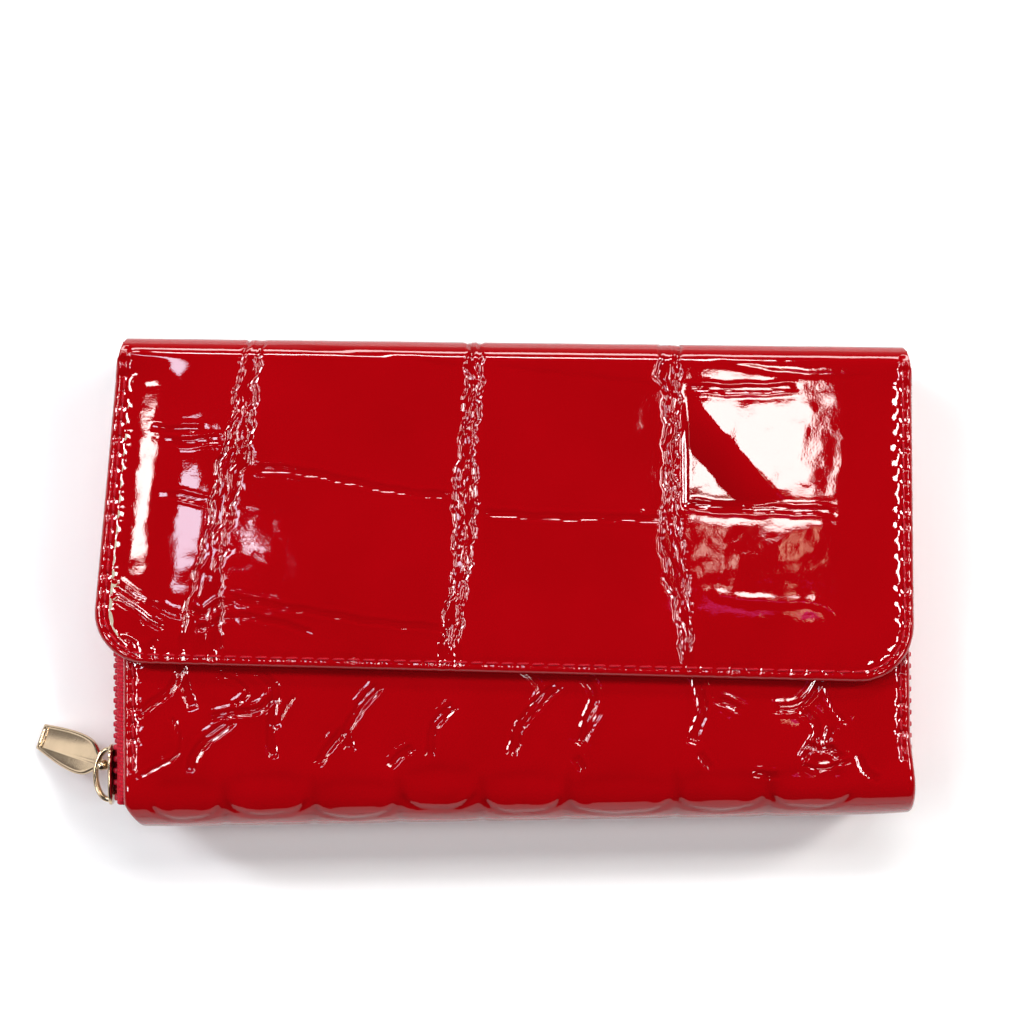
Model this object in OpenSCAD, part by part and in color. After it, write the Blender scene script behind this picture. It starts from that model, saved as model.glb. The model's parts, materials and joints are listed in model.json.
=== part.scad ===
// Zip around wallet with a front flap, lying on its back.
// +X runs to the right, +Y towards the fold of the flap, +Z up through the front.
// The origin is on the resting face, at the middle of the panels.

/* [Body] */
// Width of the front and back panels
panel_w = 160; // [120:1:190]
// Length of the body from the bottom spine to the fold of the flap
body_l = 98; // [90:1:120]
// Height from the resting face to the top of the front panel
body_t = 29.7; // [29:0.1:32]
// Thickness of the outer leather
leather_t = 1.2; // [0.8:0.1:1.4]
// Thickness of the stiffening board behind the leather
board_t = 0.8; // [0.5:0.1:1]
// Thickness of the inner lining
lining_t = 0.5; // [0.3:0.1:0.6]
// Depth of the rounded bottom spine
spine_d = 10; // [6:0.5:12]

/* [Flap] */
// Width of the flap at its fold
flap_w = 161; // [120:1:190]
// How much wider the flap is near its free end
flap_flare = 5; // [0:0.5:8]
// Length of the flap from its fold to its free edge, in the middle
flap_l = 67; // [55:1:70]
// How far the flap's free edge sits to the left
flap_skew = 3; // [0:0.5:4]
// How much longer the flap is at its right side than at its left
flap_slope = 5; // [0:0.5:6]
// Radius of the flap's free corners
flap_r = 11; // [4:0.5:18]
// Air gap between the front panel and the flap
flap_gap = 1.6; // [1.5:0.1:2.5]

/* [Main zip] */
// Distance of the zip from the middle, at the sides
zip_x = 79.8; // [79.5:0.1:84]
// How far the zip sits to the left of the panels' middle
zip_shift = 0.6; // [0:0.1:0.8]
// Distance of the zip from the middle, along the top
zip_y = 40; // [39:0.5:41]
// Radius of the zip's path at the two corners
zip_r = 8; // [6:0.5:12]
// Spacing of the teeth
tooth_pitch = 2.4; // [2:0.1:3]
// Length of the slider
slider_l = 12.5; // [9:0.5:13]
// Width of the slider across the two rows of teeth
slider_w = 8.6; // [8:0.1:10]
// Length of the pull tab along its own face
tab_l = 20; // [16:0.5:20]
// Widest part of the pull tab
tab_w = 8.4; // [6:0.1:9]

/* [Coin pocket] */
// Width of the coin pocket in the middle
coin_w = 144; // [110:1:144]
// Height of the coin pocket's mouth above the middle of the body
coin_top = 25; // [10:1:25]
// Length of the coin zip's pull tab
coin_tab_l = 11.5; // [8:0.5:11.5]

/* [Card slips] */
// Width of each card slip
card_w = 140; // [100:1:144]
// Thickness of a card slip
card_t = 0.6; // [0.4:0.1:0.6]
// Step from one card slip to the next
card_step = 9; // [7:1:10]

/* [Snap] */
// Distance of the snap from the flap's free edge
snap_inset = 10; // [8:1:20]
// Radius of both snap plates
snap_r = 7; // [5:0.5:8]

/* [Hidden] */
$fn = 48;

half_w = panel_w / 2;
y_top = body_l / 2;
y_bot = -body_l / 2;
y_flat = y_bot + spine_d;             // where the panels stop being flat and the spine starts
z_mid = 16.5;                         // height between the two rows of teeth
gap = 0.3;                            // clearance between pieces that move apart
panel_y = zip_y - 1.5;                // top edge of the front panel
inset = 3.9;                          // how far boards and linings stay inside the panels
inner_y = zip_y - 3;                  // top edge of the boards and linings
back_board_z = leather_t;
back_lining_z = back_board_z + board_t;
back_inner_z = back_lining_z + lining_t;
front_outer_z = body_t - leather_t;
front_board_z = front_outer_z - board_t;
front_lining_z = front_board_z - lining_t;

wall_y = y_top - leather_t - lining_t; // inner face of the flap's spine
flap_lining_z = body_t + flap_gap;
flap_board_z = flap_lining_z + lining_t;
flap_outer_z = flap_board_z + 0.6;
flap_top_z = flap_outer_z + leather_t;
snap_y = y_top - flap_l + snap_inset;

tooth_h = 1.95;                       // height of one row of teeth
row_gap = 0.55;                       // from the middle plane to each row
tooth_in = 1.0;                       // inner face of the teeth, outwards from the zip's path
tooth_valley = 2.1;
tooth_out = 2.8;
zip_y0 = -42.5;                       // where the rows of teeth start, at both sides
tape_y0 = -44.5;
tape_t = 0.6;
tape_foot = 2.7;                      // how far the tape's sewn edge is inside the zip's path
tape_straight = 2.3;                  // height of the tape's upright part next to the teeth
side_l = zip_y - zip_r - zip_y0;      // straight length of a row at each side
arc_l = zip_r * PI / 2;
top_l = 2 * (zip_x - zip_r);
row_l = 2 * side_l + 2 * arc_l + top_l;

slider_y = -38.8;                     // middle of the slider with the zip closed
slider_z = z_mid;
plate_t = 0.8;
outer_plate_x = -(zip_x + zip_shift + tooth_out + gap + plate_t);
inner_plate_x = -(zip_x + zip_shift + tooth_in - gap);
bridge_h = 3.4;
bridge_l = 11.5;
bridge_w = 2.8;                       // width of the bridge's band
bridge_t = 0.7;
tab_x = outer_plate_x - 1.45;         // axis that the pull tab swings about
tab_y = slider_y + 1.8;
tab_pitch = 39.6;                     // how far the tab hangs down
tab_yaw = 20;
tab_t = 1.1;

coin_rear_z = 12;
coin_wall_t = 0.7;
coin_front_z = 19 - coin_wall_t;
coin_mid_z = (coin_rear_z + coin_front_z + coin_wall_t) / 2;
coin_bot = -38;
coin_row_gap = 0.4;
coin_tooth_h = 0.8;
coin_slider_x = -52;
coin_plate_t = 0.8;
coin_plate_y = coin_top + gap;
coin_hinge_y = coin_plate_y + coin_plate_t + 0.75;

red = "#a8000c";
zip_red = "#c01028";
lining_red = "#7a1420";
gold = "#d8b070";
cardboard = "#b8a890";
silver = "#c8c8cc";

// A plain slab between two corners
module slab(low, high) {
  translate(low) cube(high - low);
}

// A point on the zip's path, s along it from the lower left end, and u outwards
function zip_point(s, u) =
  let (cx = zip_x - zip_r, cy = zip_y - zip_r, r = zip_r + u)
  s <= side_l ? [-zip_x - u, zip_y0 + s]
  : s <= side_l + arc_l ?
    let (a = 90 * (s - side_l) / arc_l) [-cx - r * cos(a), cy + r * sin(a)]
  : s <= side_l + arc_l + top_l ? [-cx + s - side_l - arc_l, zip_y + u]
  : s <= side_l + 2 * arc_l + top_l ?
    let (a = 90 * (s - side_l - arc_l - top_l) / arc_l) [cx + r * sin(a), cy + r * cos(a)]
  : [zip_x + u, cy - (s - side_l - 2 * arc_l - top_l)];

// One row of teeth, as a band whose outer edge steps out at each tooth
module tooth_row(phase) {
  count = floor((row_l - tooth_pitch) / tooth_pitch);
  start = phase * tooth_pitch + 0.3;
  outer = [for (i = [0 : count - 1], q = [0, 1, 2, 3])
    zip_point(start + (i + [0, 0, 0.55, 0.55][q]) * tooth_pitch,
              [tooth_valley, tooth_out, tooth_out, tooth_valley][q])];
  inner = [for (i = [count - 1 : -1 : 0], q = [1, 0])
    zip_point(start + (i + q * 0.55) * tooth_pitch, tooth_in)];
  translate([-zip_shift, 0, 0]) linear_extrude(tooth_h) polygon(concat(outer, inner));
}

// Sweeps a profile, drawn as outward distance and height, round the zip's path
module around_zip() {
  cx = zip_x - zip_r;
  cy = zip_y - zip_r;
  straight = cy - tape_y0;
  translate([-zip_shift, 0, 0]) {
    for (side = [0, 1]) mirror([side, 0, 0]) {
      translate([cx, cy, 0]) rotate([90, 0, 0]) linear_extrude(straight) children();
      translate([cx, cy, 0]) rotate_extrude(angle = 90) children();
    }
    translate([-cx, cy, 0]) rotate([90, 0, 90]) linear_extrude(2 * cx) children();
  }
}

// Section of a tape that leans out from a panel's edge and then stands upright up to the teeth
module tape_section(z_panel, z_teeth) {
  foot = zip_r - tape_foot;
  upright = zip_r + tooth_in + 0.2;
  z_bend = z_teeth + tape_straight * sign(z_panel - z_teeth);
  polygon([[foot, z_panel], [foot + tape_t, z_panel], [upright + tape_t, z_bend],
           [upright + tape_t, z_teeth], [upright, z_teeth], [upright, z_bend]]);
}

// Point on the spine's curve at an angle, inside its outer face by depth
function spine_point(a, depth) =
  [y_flat - (spine_d - depth) * cos(a), body_t / 2 + (body_t / 2 - depth) * sin(a)];

// Part of the rounded bottom spine, from angle a0 to a1, as a band
module spine_band(a0, a1) {
  steps = 10;
  angles = [for (i = [0 : steps]) a0 + (a1 - a0) * i / steps];
  translate([-half_w, 0, 0]) rotate([90, 0, 90]) linear_extrude(panel_w)
    polygon(concat([for (a = angles) spine_point(a, 0)],
                   [for (i = [steps : -1 : 0]) spine_point(angles[i], leather_t)]));
}

// Everything outside the spine's inner face, which the zip's tapes are cut back to
module outside_spine() {
  far = spine_d + 10;
  translate([-panel_w, 0, 0]) rotate([90, 0, 90]) linear_extrude(2 * panel_w)
    polygon(concat([for (i = [0 : 20]) spine_point(-90 + 9 * i, leather_t + 0.05)],
                   [[y_flat, body_t + far], [y_flat - far, body_t + far], [y_flat - far, -far], [y_flat, -far]]));
}

// Angle on the spine's curve at a height
function spine_angle(z) = asin((z - body_t / 2) / (body_t / 2));

module back_panel() {
  color(red) slab([-half_w, y_flat, 0], [half_w, wall_y - gap, leather_t]);
}

module spine_back() {
  color(red) spine_band(-90, spine_angle(z_mid - 0.15));
}

module back_stiffener() {
  color(cardboard) slab([-half_w + inset, y_flat, back_board_z], [half_w - inset, inner_y, back_lining_z]);
}

module back_lining() {
  color(lining_red) slab([-half_w + inset, y_flat, back_lining_z], [half_w - inset, inner_y, back_inner_z]);
}

// Slips are counted from the lining, the tallest first
module card_slip(i, z_low) {
  color(lining_red) slab([-card_w / 2, coin_bot, z_low], [card_w / 2, 28 - (i - 1) * card_step, z_low + card_t]);
}

module card_slip_back(i) {
  card_slip(i, back_inner_z + (i - 1) * card_t);
}

module card_slip_front(i) {
  card_slip(i, front_lining_z - i * card_t);
}

module zip_tape_back() {
  color(zip_red) difference() {
    around_zip() tape_section(leather_t, z_mid - row_gap - tooth_h);
    outside_spine();
  }
}

module zip_tape_front() {
  color(zip_red) difference() {
    around_zip() tape_section(front_outer_z, z_mid + row_gap + tooth_h);
    outside_spine();
  }
}

module zip_teeth_back() {
  color(zip_red) translate([0, 0, z_mid - row_gap - tooth_h]) tooth_row(0);
}

module zip_teeth_front() {
  color(zip_red) translate([0, 0, z_mid + row_gap]) tooth_row(0.5);
}

// The two stops at the ends of one row
module zip_stops(z_low) {
  color(zip_red) translate([-zip_shift, 0, 0]) for (side = [0, 1]) mirror([side, 0, 0])
    slab([zip_x + tooth_in + 0.2, zip_y0 - 1.6, z_low], [zip_x + tooth_out - 0.2, zip_y0 - 0.2, z_low + tooth_h]);
}

// A side gusset, folded once inwards between the two linings
module gusset() {
  t = 0.5;
  x0 = half_w - inset - 1;
  x1 = half_w - inset - 3.6;
  za = back_inner_z;
  zb = front_lining_z;
  zm = (za + zb) / 2;
  color(lining_red) translate([0, inner_y - 4, 0]) rotate([90, 0, 0]) linear_extrude(inner_y - 4 - coin_bot)
    polygon([[x0, za], [x0 + t, za], [x1 + t, zm], [x0 + t, zb], [x0, zb], [x1, zm]]);
}

module coin_rear_wall() {
  color(lining_red) slab([-coin_w / 2, coin_bot, coin_rear_z], [coin_w / 2, coin_top, coin_rear_z + coin_wall_t]);
}

module coin_front_wall() {
  color(lining_red) slab([-coin_w / 2, coin_bot, coin_front_z], [coin_w / 2, coin_top, coin_front_z + coin_wall_t]);
}

// Strips that close the coin pocket at both sides and along the bottom
module coin_binding() {
  t = 0.8;
  z0 = coin_rear_z + coin_wall_t;
  color(lining_red) {
    slab([-coin_w / 2, coin_bot, z0], [coin_w / 2, coin_bot + t, coin_front_z]);
    for (side = [0, 1]) mirror([side, 0, 0])
      slab([coin_w / 2 - t, coin_bot + t + 0.05, z0], [coin_w / 2, coin_top, coin_front_z]);
  }
}

module coin_tape(z_low, z_high) {
  x = coin_w / 2 - 1;
  color(zip_red) slab([-x, coin_top - 0.8, z_low], [x, coin_top - 0.3, z_high]);
}

module coin_tape_rear() {
  coin_tape(coin_rear_z + coin_wall_t, coin_mid_z - coin_row_gap - coin_tooth_h);
}

module coin_tape_front() {
  coin_tape(coin_mid_z + coin_row_gap + coin_tooth_h, coin_front_z);
}

// One row of the coin zip, with its teeth standing up from the band
module coin_row(z_low, phase) {
  pitch = 1.6;
  count = floor((coin_w - 12) / pitch);
  x0 = -coin_w / 2 + 5 + phase * pitch;
  y0 = coin_top - 1.2;
  color(zip_red) translate([0, 0, z_low]) linear_extrude(coin_tooth_h) polygon(concat(
    [for (i = [0 : count - 1], q = [0 : 3])
      [x0 + (i + [0, 0, 0.55, 0.55][q]) * pitch, y0 + [0.7, 1.2, 1.2, 0.7][q]]],
    [[x0 + (count - 0.45) * pitch, y0], [x0, y0]]));
}

module coin_teeth_rear() {
  coin_row(coin_mid_z - coin_row_gap - coin_tooth_h, 0);
}

module coin_teeth_front() {
  coin_row(coin_mid_z + coin_row_gap, 0.5);
}

// The front panel, its top edge bevelled so that it clears the flap as it opens
module front_panel() {
  bevel_l = 2.5;
  bevel_t = 0.5;
  color(red) translate([-half_w, 0, 0]) rotate([90, 0, 90]) linear_extrude(panel_w)
    polygon([[y_flat, front_outer_z], [panel_y, front_outer_z], [panel_y, body_t - bevel_t],
             [panel_y - bevel_l, body_t], [y_flat, body_t]]);
}

module spine_front() {
  color(red) spine_band(spine_angle(z_mid + 0.15), 90);
}

module front_stiffener() {
  color(cardboard) difference() {
    slab([-half_w + inset, y_flat, front_board_z], [half_w - inset, inner_y, front_outer_z]);
    translate([0, snap_y, front_board_z - 1]) cylinder(r = snap_r + 0.2, h = board_t + 2);
  }
}

module front_lining() {
  color(lining_red) slab([-half_w + inset, y_flat, front_lining_z], [half_w - inset, inner_y, front_board_z]);
}

// Male half of the snap: a plate on the leather and a stub that enters the other half
module snap_stud() {
  color(silver) translate([0, snap_y, body_t]) {
    cylinder(r = snap_r, h = 0.6);
    cylinder(r = 1.8, h = 1.3);
  }
}

module snap_stud_washer() {
  color(silver) translate([0, snap_y, front_board_z]) difference() {
    cylinder(r = snap_r - 0.5, h = board_t);
    translate([0, 0, -1]) cylinder(r = 1.5, h = board_t + 2);
  }
}

module flap_spine_outer() {
  color(red) slab([-flap_w / 2, y_top - leather_t, 0.2], [flap_w / 2, y_top, flap_lining_z - gap]);
}

module flap_spine_lining() {
  color(lining_red) slab([-flap_w / 2 + 1, wall_y, leather_t], [flap_w / 2 - 1, y_top - leather_t, flap_lining_z - gap]);
}

// A point of the flap, moved by the skew and slope of its free edge
function flap_shear(p) =
  let (t = (y_top - p[1]) / flap_l) [p[0] - flap_skew * t, p[1] - flap_slope * t * p[0] / flap_w];

// Outline of the flap: a fold, slightly flared sides and two rounded corners
module flap_outline(margin, fold_margin) {
  w0 = flap_w / 2 - margin;
  w1 = (flap_w + flap_flare) / 2 - margin;
  y0 = y_top - fold_margin;
  y1 = y_top - flap_l + margin;
  r = flap_r - margin;
  corner = [for (a = [0 : 10 : 90]) [w1 - r + r * cos(a), y1 + r - r * sin(a)]];
  points = concat([[-w0, y0], [w0, y0]], corner,
                  [for (i = [len(corner) - 1 : -1 : 0]) [-corner[i][0], corner[i][1]]]);
  polygon([for (p = points) flap_shear(p)]);
}

module flap_outer() {
  color(red) translate([0, 0, flap_outer_z]) linear_extrude(leather_t) flap_outline(0, 0);
}

module flap_stiffener() {
  color(cardboard) translate([0, 0, flap_board_z]) difference() {
    linear_extrude(flap_outer_z - flap_board_z) flap_outline(3, 3);
    translate([0, snap_y, -1]) cylinder(r = snap_r + 0.2, h = 4);
  }
}

module flap_lining() {
  color(lining_red) translate([0, 0, flap_lining_z]) linear_extrude(lining_t) flap_outline(0.8, 0.8);
}

// Female half of the snap: a ring on the flap's lining
module snap_socket() {
  t = 0.7;
  color(silver) translate([0, snap_y, flap_lining_z - t]) difference() {
    cylinder(r = snap_r, h = t);
    translate([0, 0, -1]) cylinder(r = 2.7, h = t + 2);
  }
}

module snap_socket_washer() {
  color(silver) translate([0, snap_y, flap_board_z]) difference() {
    cylinder(r = snap_r - 0.5, h = flap_outer_z - flap_board_z);
    translate([0, 0, -1]) cylinder(r = 1.5, h = 4);
  }
}

// Plate of a slider, with its four corners cut off, thickness along X
module slider_plate(l, w, t) {
  c = 1.8;
  rotate([90, 0, 90]) linear_extrude(t)
    polygon([[-l / 2 + c, -w / 2], [l / 2 - c, -w / 2], [l / 2, -w / 2 + c], [l / 2, w / 2 - c],
             [l / 2 - c, w / 2], [-l / 2 + c, w / 2], [-l / 2, w / 2 - c], [-l / 2, -w / 2 + c]]);
}

// Two plates joined by a thin web that runs between the rows of teeth
module slider_body() {
  web_l = 3;
  web_t = 0.5;
  color(gold) translate([0, slider_y, slider_z]) {
    translate([outer_plate_x, 0, 0]) slider_plate(slider_l, slider_w, plate_t);
    translate([inner_plate_x, 0, 0]) slider_plate(slider_l, slider_w, plate_t);
    slab([outer_plate_x + plate_t / 2, slider_l / 2 - web_l - 1, -web_t / 2],
         [inner_plate_x + plate_t / 2, slider_l / 2 - 1, web_t / 2]);
  }
}

// Arch that stands off the outer plate; the pull tab hangs from it
module slider_bridge() {
  color(gold) translate([outer_plate_x, slider_y, slider_z - bridge_w / 2]) linear_extrude(bridge_w)
    difference() {
      arch(bridge_l / 2, bridge_h);
      arch(bridge_l / 2 - bridge_t, bridge_h - bridge_t);
    }
}

// Half of an oval standing on the plate, towards -X
module arch(half, height) {
  polygon([for (a = [0 : 12 : 180]) [-height * sin(a), half * cos(a)]]);
}

// Boat-shaped tab that hangs from a head captured in the bridge
module pull_tab() {
  head_r = 0.9;
  post_r = 0.5;
  neck = 1.6;
  foot_z = slider_z - bridge_w / 2 - gap - tab_t;
  color(gold) translate([tab_x, tab_y, 0]) {
    translate([0, 0, foot_z]) {
      cylinder(r = head_r + 0.2, h = tab_t);
      cylinder(r = post_r, h = bridge_w + 2 * gap + tab_t + 0.1);
    }
    translate([0, 0, slider_z + bridge_w / 2 + gap]) cylinder(r = head_r, h = 0.6);
    rotate([0, 0, -tab_yaw]) translate([0, 0, foot_z]) rotate([0, -tab_pitch, 0])
      translate([-tab_l, 0, 0]) linear_extrude(tab_t)
        polygon([[0, -2.1], [0, 2.1], [tab_l * 0.35, tab_w * 0.43], [tab_l * 0.62, tab_w / 2],
                 [tab_l * 0.8, tab_w * 0.42], [tab_l - 0.2, neck * 0.7], [tab_l - 0.2, -neck * 0.7],
                 [tab_l * 0.8, -tab_w * 0.42], [tab_l * 0.62, -tab_w / 2], [tab_l * 0.35, -tab_w * 0.43]]);
  }
}

// Slider of the coin zip: two plates and a thin web between the rows
module coin_slider_body() {
  w = 5.2;
  l = 8;
  low_y = coin_top - 1.2 - gap - coin_plate_t;
  color(gold) translate([coin_slider_x, 0, coin_mid_z]) {
    slab([-l / 2, coin_plate_y, -w / 2], [l / 2, coin_plate_y + coin_plate_t, w / 2]);
    slab([-l / 2, low_y, -w / 2], [l / 2, low_y + coin_plate_t, w / 2]);
    slab([l / 2 - 2.5, low_y + coin_plate_t / 2, -0.15], [l / 2 - 0.5, coin_plate_y + coin_plate_t / 2, 0.15]);
  }
}

module coin_slider_bridge() {
  l = 6;
  h = 2.1;
  t = 0.6;
  y0 = coin_plate_y + coin_plate_t;
  w = 1.6;
  color(gold) translate([coin_slider_x, y0, coin_mid_z - w / 2]) {
    slab([-l / 2, h - t, 0], [l / 2, h, w]);
    for (side = [0, 1]) mirror([side, 0, 0]) slab([l / 2 - t, 0, 0], [l / 2, h - t + 0.1, w]);
  }
}

// Tab with a cross bar under the bridge, lying along the coin zip
module coin_pull_tab() {
  w = 4.4;
  t = 0.8;
  color(gold) translate([coin_slider_x, coin_hinge_y, coin_mid_z]) {
    translate([0, 0, -w / 2]) cylinder(r = 0.45, h = w);
    for (side = [0, 1]) mirror([0, 0, side]) slab([-0.45, -t / 2, w / 2 - 0.9], [4.2, t / 2, w / 2]);
    slab([4, -t / 2, -w / 2], [coin_tab_l, t / 2, w / 2]);
  }
}

back_panel();
spine_back();
back_stiffener();
back_lining();
card_slip_back(1);  // card_slip_back_1
card_slip_back(2);  // card_slip_back_2
card_slip_back(3);  // card_slip_back_3
card_slip_back(4);  // card_slip_back_4
zip_tape_back();
zip_teeth_back();
zip_stops(z_mid - row_gap - tooth_h);  // zip_stops_back
mirror([1, 0, 0]) gusset();  // gusset_left
gusset();  // gusset_right
coin_rear_wall();
coin_front_wall();
coin_binding();
coin_tape_rear();
coin_tape_front();
coin_teeth_rear();
coin_teeth_front();
front_panel();
spine_front();
front_stiffener();
front_lining();
card_slip_front(1);  // card_slip_front_1
card_slip_front(2);  // card_slip_front_2
card_slip_front(3);  // card_slip_front_3
card_slip_front(4);  // card_slip_front_4
zip_tape_front();
zip_teeth_front();
zip_stops(z_mid + row_gap);  // zip_stops_front
snap_stud();
snap_stud_washer();
flap_spine_outer();
flap_spine_lining();
flap_outer();
flap_stiffener();
flap_lining();
snap_socket();
snap_socket_washer();
slider_body();
slider_bridge();
pull_tab();
coin_slider_body();
coin_slider_bridge();
coin_pull_tab();
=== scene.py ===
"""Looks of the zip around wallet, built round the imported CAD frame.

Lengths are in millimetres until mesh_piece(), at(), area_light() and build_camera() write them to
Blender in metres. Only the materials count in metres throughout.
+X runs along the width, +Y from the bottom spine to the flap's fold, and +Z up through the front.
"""
import json
import math
import bmesh
import bpy
import numpy as np
from mathutils import Matrix, Vector


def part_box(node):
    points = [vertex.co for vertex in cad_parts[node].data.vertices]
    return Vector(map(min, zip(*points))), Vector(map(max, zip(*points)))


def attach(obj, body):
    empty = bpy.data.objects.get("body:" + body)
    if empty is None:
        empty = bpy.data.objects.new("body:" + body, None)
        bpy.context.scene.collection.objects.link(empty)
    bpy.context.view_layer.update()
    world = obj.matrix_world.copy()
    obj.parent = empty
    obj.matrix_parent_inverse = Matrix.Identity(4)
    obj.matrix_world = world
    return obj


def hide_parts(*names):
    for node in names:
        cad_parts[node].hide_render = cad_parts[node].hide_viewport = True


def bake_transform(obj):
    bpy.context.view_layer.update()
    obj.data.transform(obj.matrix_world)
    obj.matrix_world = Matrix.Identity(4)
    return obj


MM = 0.001
UP = (0.0, 0.0, 1.0)
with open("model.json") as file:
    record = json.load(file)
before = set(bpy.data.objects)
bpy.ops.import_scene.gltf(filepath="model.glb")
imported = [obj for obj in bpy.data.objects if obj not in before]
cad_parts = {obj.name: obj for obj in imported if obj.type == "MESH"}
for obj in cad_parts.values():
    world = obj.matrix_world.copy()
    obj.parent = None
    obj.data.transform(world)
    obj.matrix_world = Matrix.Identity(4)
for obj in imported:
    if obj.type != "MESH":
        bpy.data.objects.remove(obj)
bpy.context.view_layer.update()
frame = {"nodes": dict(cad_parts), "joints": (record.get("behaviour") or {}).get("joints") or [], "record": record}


def cad(node):
    """Lowest and highest corner of a CAD node, in millimetres."""
    low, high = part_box(node)
    return np.array(low) / MM, np.array(high) / MM


# ---------------------------------------------------------------- sizes taken from the frame

PANEL_LOW, PANEL_HIGH = cad("front_panel")
WALL_HIGH = cad("flap_spine_outer")[1]
HALF_W = PANEL_HIGH[0]                      # half the width of the front and back panels
BODY_T = PANEL_HIGH[2]                      # height of the front panel's outer face
Y_FLAT = PANEL_LOW[1]                       # where the bottom spine starts to bulge
Y_PANEL = PANEL_HIGH[1]                     # top edge of the front panel
Y_BOTTOM = cad("spine_back")[0][1]
Y_TOP = WALL_HIGH[1]
LEATHER_T = BODY_T - PANEL_LOW[2]
FLAP_HALF = WALL_HIGH[0]                    # half the width of the flap at its fold
FLAP_Z = cad("flap_outer")[1][2]            # outer face of the flap
FLAP_UNDER = cad("flap_lining")[0][2]
SPLIT_Z = FLAP_Z / 2                        # where the flap's lower and upper leather meet

# the flap's outline, as in part.scad
FLAP_L = 67
FLAP_FLARE = 2.5
FLAP_SKEW = 3
FLAP_SLOPE = 5
FLAP_R = 11
FLAP_FREE = Y_TOP - FLAP_L

FOLD_R = 4.2                                # radius of the leather where the flap folds over
FOOT_R = 3.4                                # radius where the flap's spine meets the back
SEAM_Y = 40                                 # where the flap's leather joins the back panel's
STITCH_PITCH = 3.1
STITCH_INSET = 2.0
TURNED_T = LEATHER_T + 0.4                  # thickness of a turned edge

# the camera, at the photograph's viewing angle
CAMERA_AT = (-15, -3.9, 580)
CAMERA_TURN = (0.0337, -0.0253, -0.0043)    # tilt about X, Y and Z, in radians
LENS = 95.2
SENSOR = 36
LEVEL_SEEN = 25                             # height at which the camera shows lengths at their true size
SIGHT_SHIFT = (0.35, 0.5)                   # how far off the judged places are, along X and Y
SEEN_UP_TO = 50                             # y past which the leather turns down out of the camera's sight


# ---------------------------------------------------------------- small helpers

def in_sight(points, z):
    """Places judged from the camera, moved along its line of sight onto a level face at height z.
    Places beyond SEEN_UP_TO are left, since the leather has turned away from the camera there."""
    scale = (CAMERA_AT[2] - z) / (CAMERA_AT[2] - LEVEL_SEEN)
    moved = []
    for x, y in points:
        if y < SEEN_UP_TO:
            x = CAMERA_AT[0] + (x - CAMERA_AT[0]) * scale + SIGHT_SHIFT[0]
            y = CAMERA_AT[1] + (y - CAMERA_AT[1]) * scale + SIGHT_SHIFT[1]
        moved.append((x, y))
    return moved


def smoothstep(t):
    """0 below 0, 1 above 1, and a smooth rise between."""
    t = np.clip(t, 0, 1)
    return t * t * (3 - 2 * t)


def bell(d, width):
    """1 at no distance, falling away over width."""
    return np.exp(-(d / width) ** 2)


def at(y, z):
    """A place for a hinge, in metres."""
    return (0, y * MM, z * MM)


def unit(v):
    """Directions in a plane, scaled to a length of one."""
    return v / np.hypot(*v.T)[:, None]


def tangents(line):
    """Directions along a line in a plane, at each of its points."""
    return unit(np.gradient(line, axis=0))


def run_along(line):
    """How far along a line in a plane each of its points is."""
    return np.concatenate([[0], np.cumsum(np.hypot(*np.diff(line, axis=0).T))])


def there_and_back(values):
    """Values for both sides of a section made by two_sided()."""
    return np.concatenate([values, values[::-1]])


def two_sided(line, thick):
    """A closed section that runs along both sides of a line, thick away from it."""
    t = tangents(line)
    side = np.stack([t[:, 1], -t[:, 0]], 1) * thick
    return np.vstack([line + side, (line - side)[::-1]])


def flat_places(along, across):
    """Places on the uncut material of a grid of points, with a row at each along."""
    return np.stack([np.repeat(along, len(across)), np.tile(across, len(along)),
                     np.zeros(len(along) * len(across))], 1)

def curve_through(points, steps=6):
    """A smooth line through a few points (Catmull-Rom)."""
    p = np.array(points, float)
    if len(p) < 3:
        return p
    p = np.vstack([2 * p[0] - p[1], p, 2 * p[-1] - p[-2]])
    out = []
    for a, b, c, d in zip(p, p[1:], p[2:], p[3:]):
        for i in range(steps):
            t = i / steps
            out.append(0.5 * (2 * b + (c - a) * t + (2 * a - 5 * b + 4 * c - d) * t * t
                              + (3 * b - a - 3 * c + d) * t ** 3))
    return np.array(out + [p[-2]])


def distance_to(x, y, line):
    """Distance from each point to a line, the side it is on, how far along the line its nearest place is,
    and the line's length."""
    best = np.full(x.shape, 1e6)
    side = np.ones(x.shape)
    along = np.zeros(x.shape)
    run = 0.0
    for (x0, y0), (x1, y1) in zip(line, line[1:]):
        dx, dy = x1 - x0, y1 - y0
        length = math.hypot(dx, dy)
        if length < 1e-9:
            continue
        t = np.clip(((x - x0) * dx + (y - y0) * dy) / length ** 2, 0, 1)
        d = np.hypot(x - x0 - t * dx, y - y0 - t * dy)
        near = d < best
        best = np.where(near, d, best)
        side = np.where(near, np.sign(dx * (y - y0) - dy * (x - x0) + 1e-12), side)
        along = np.where(near, run + t * length, along)
        run += length
    return best, side, along, run


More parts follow.
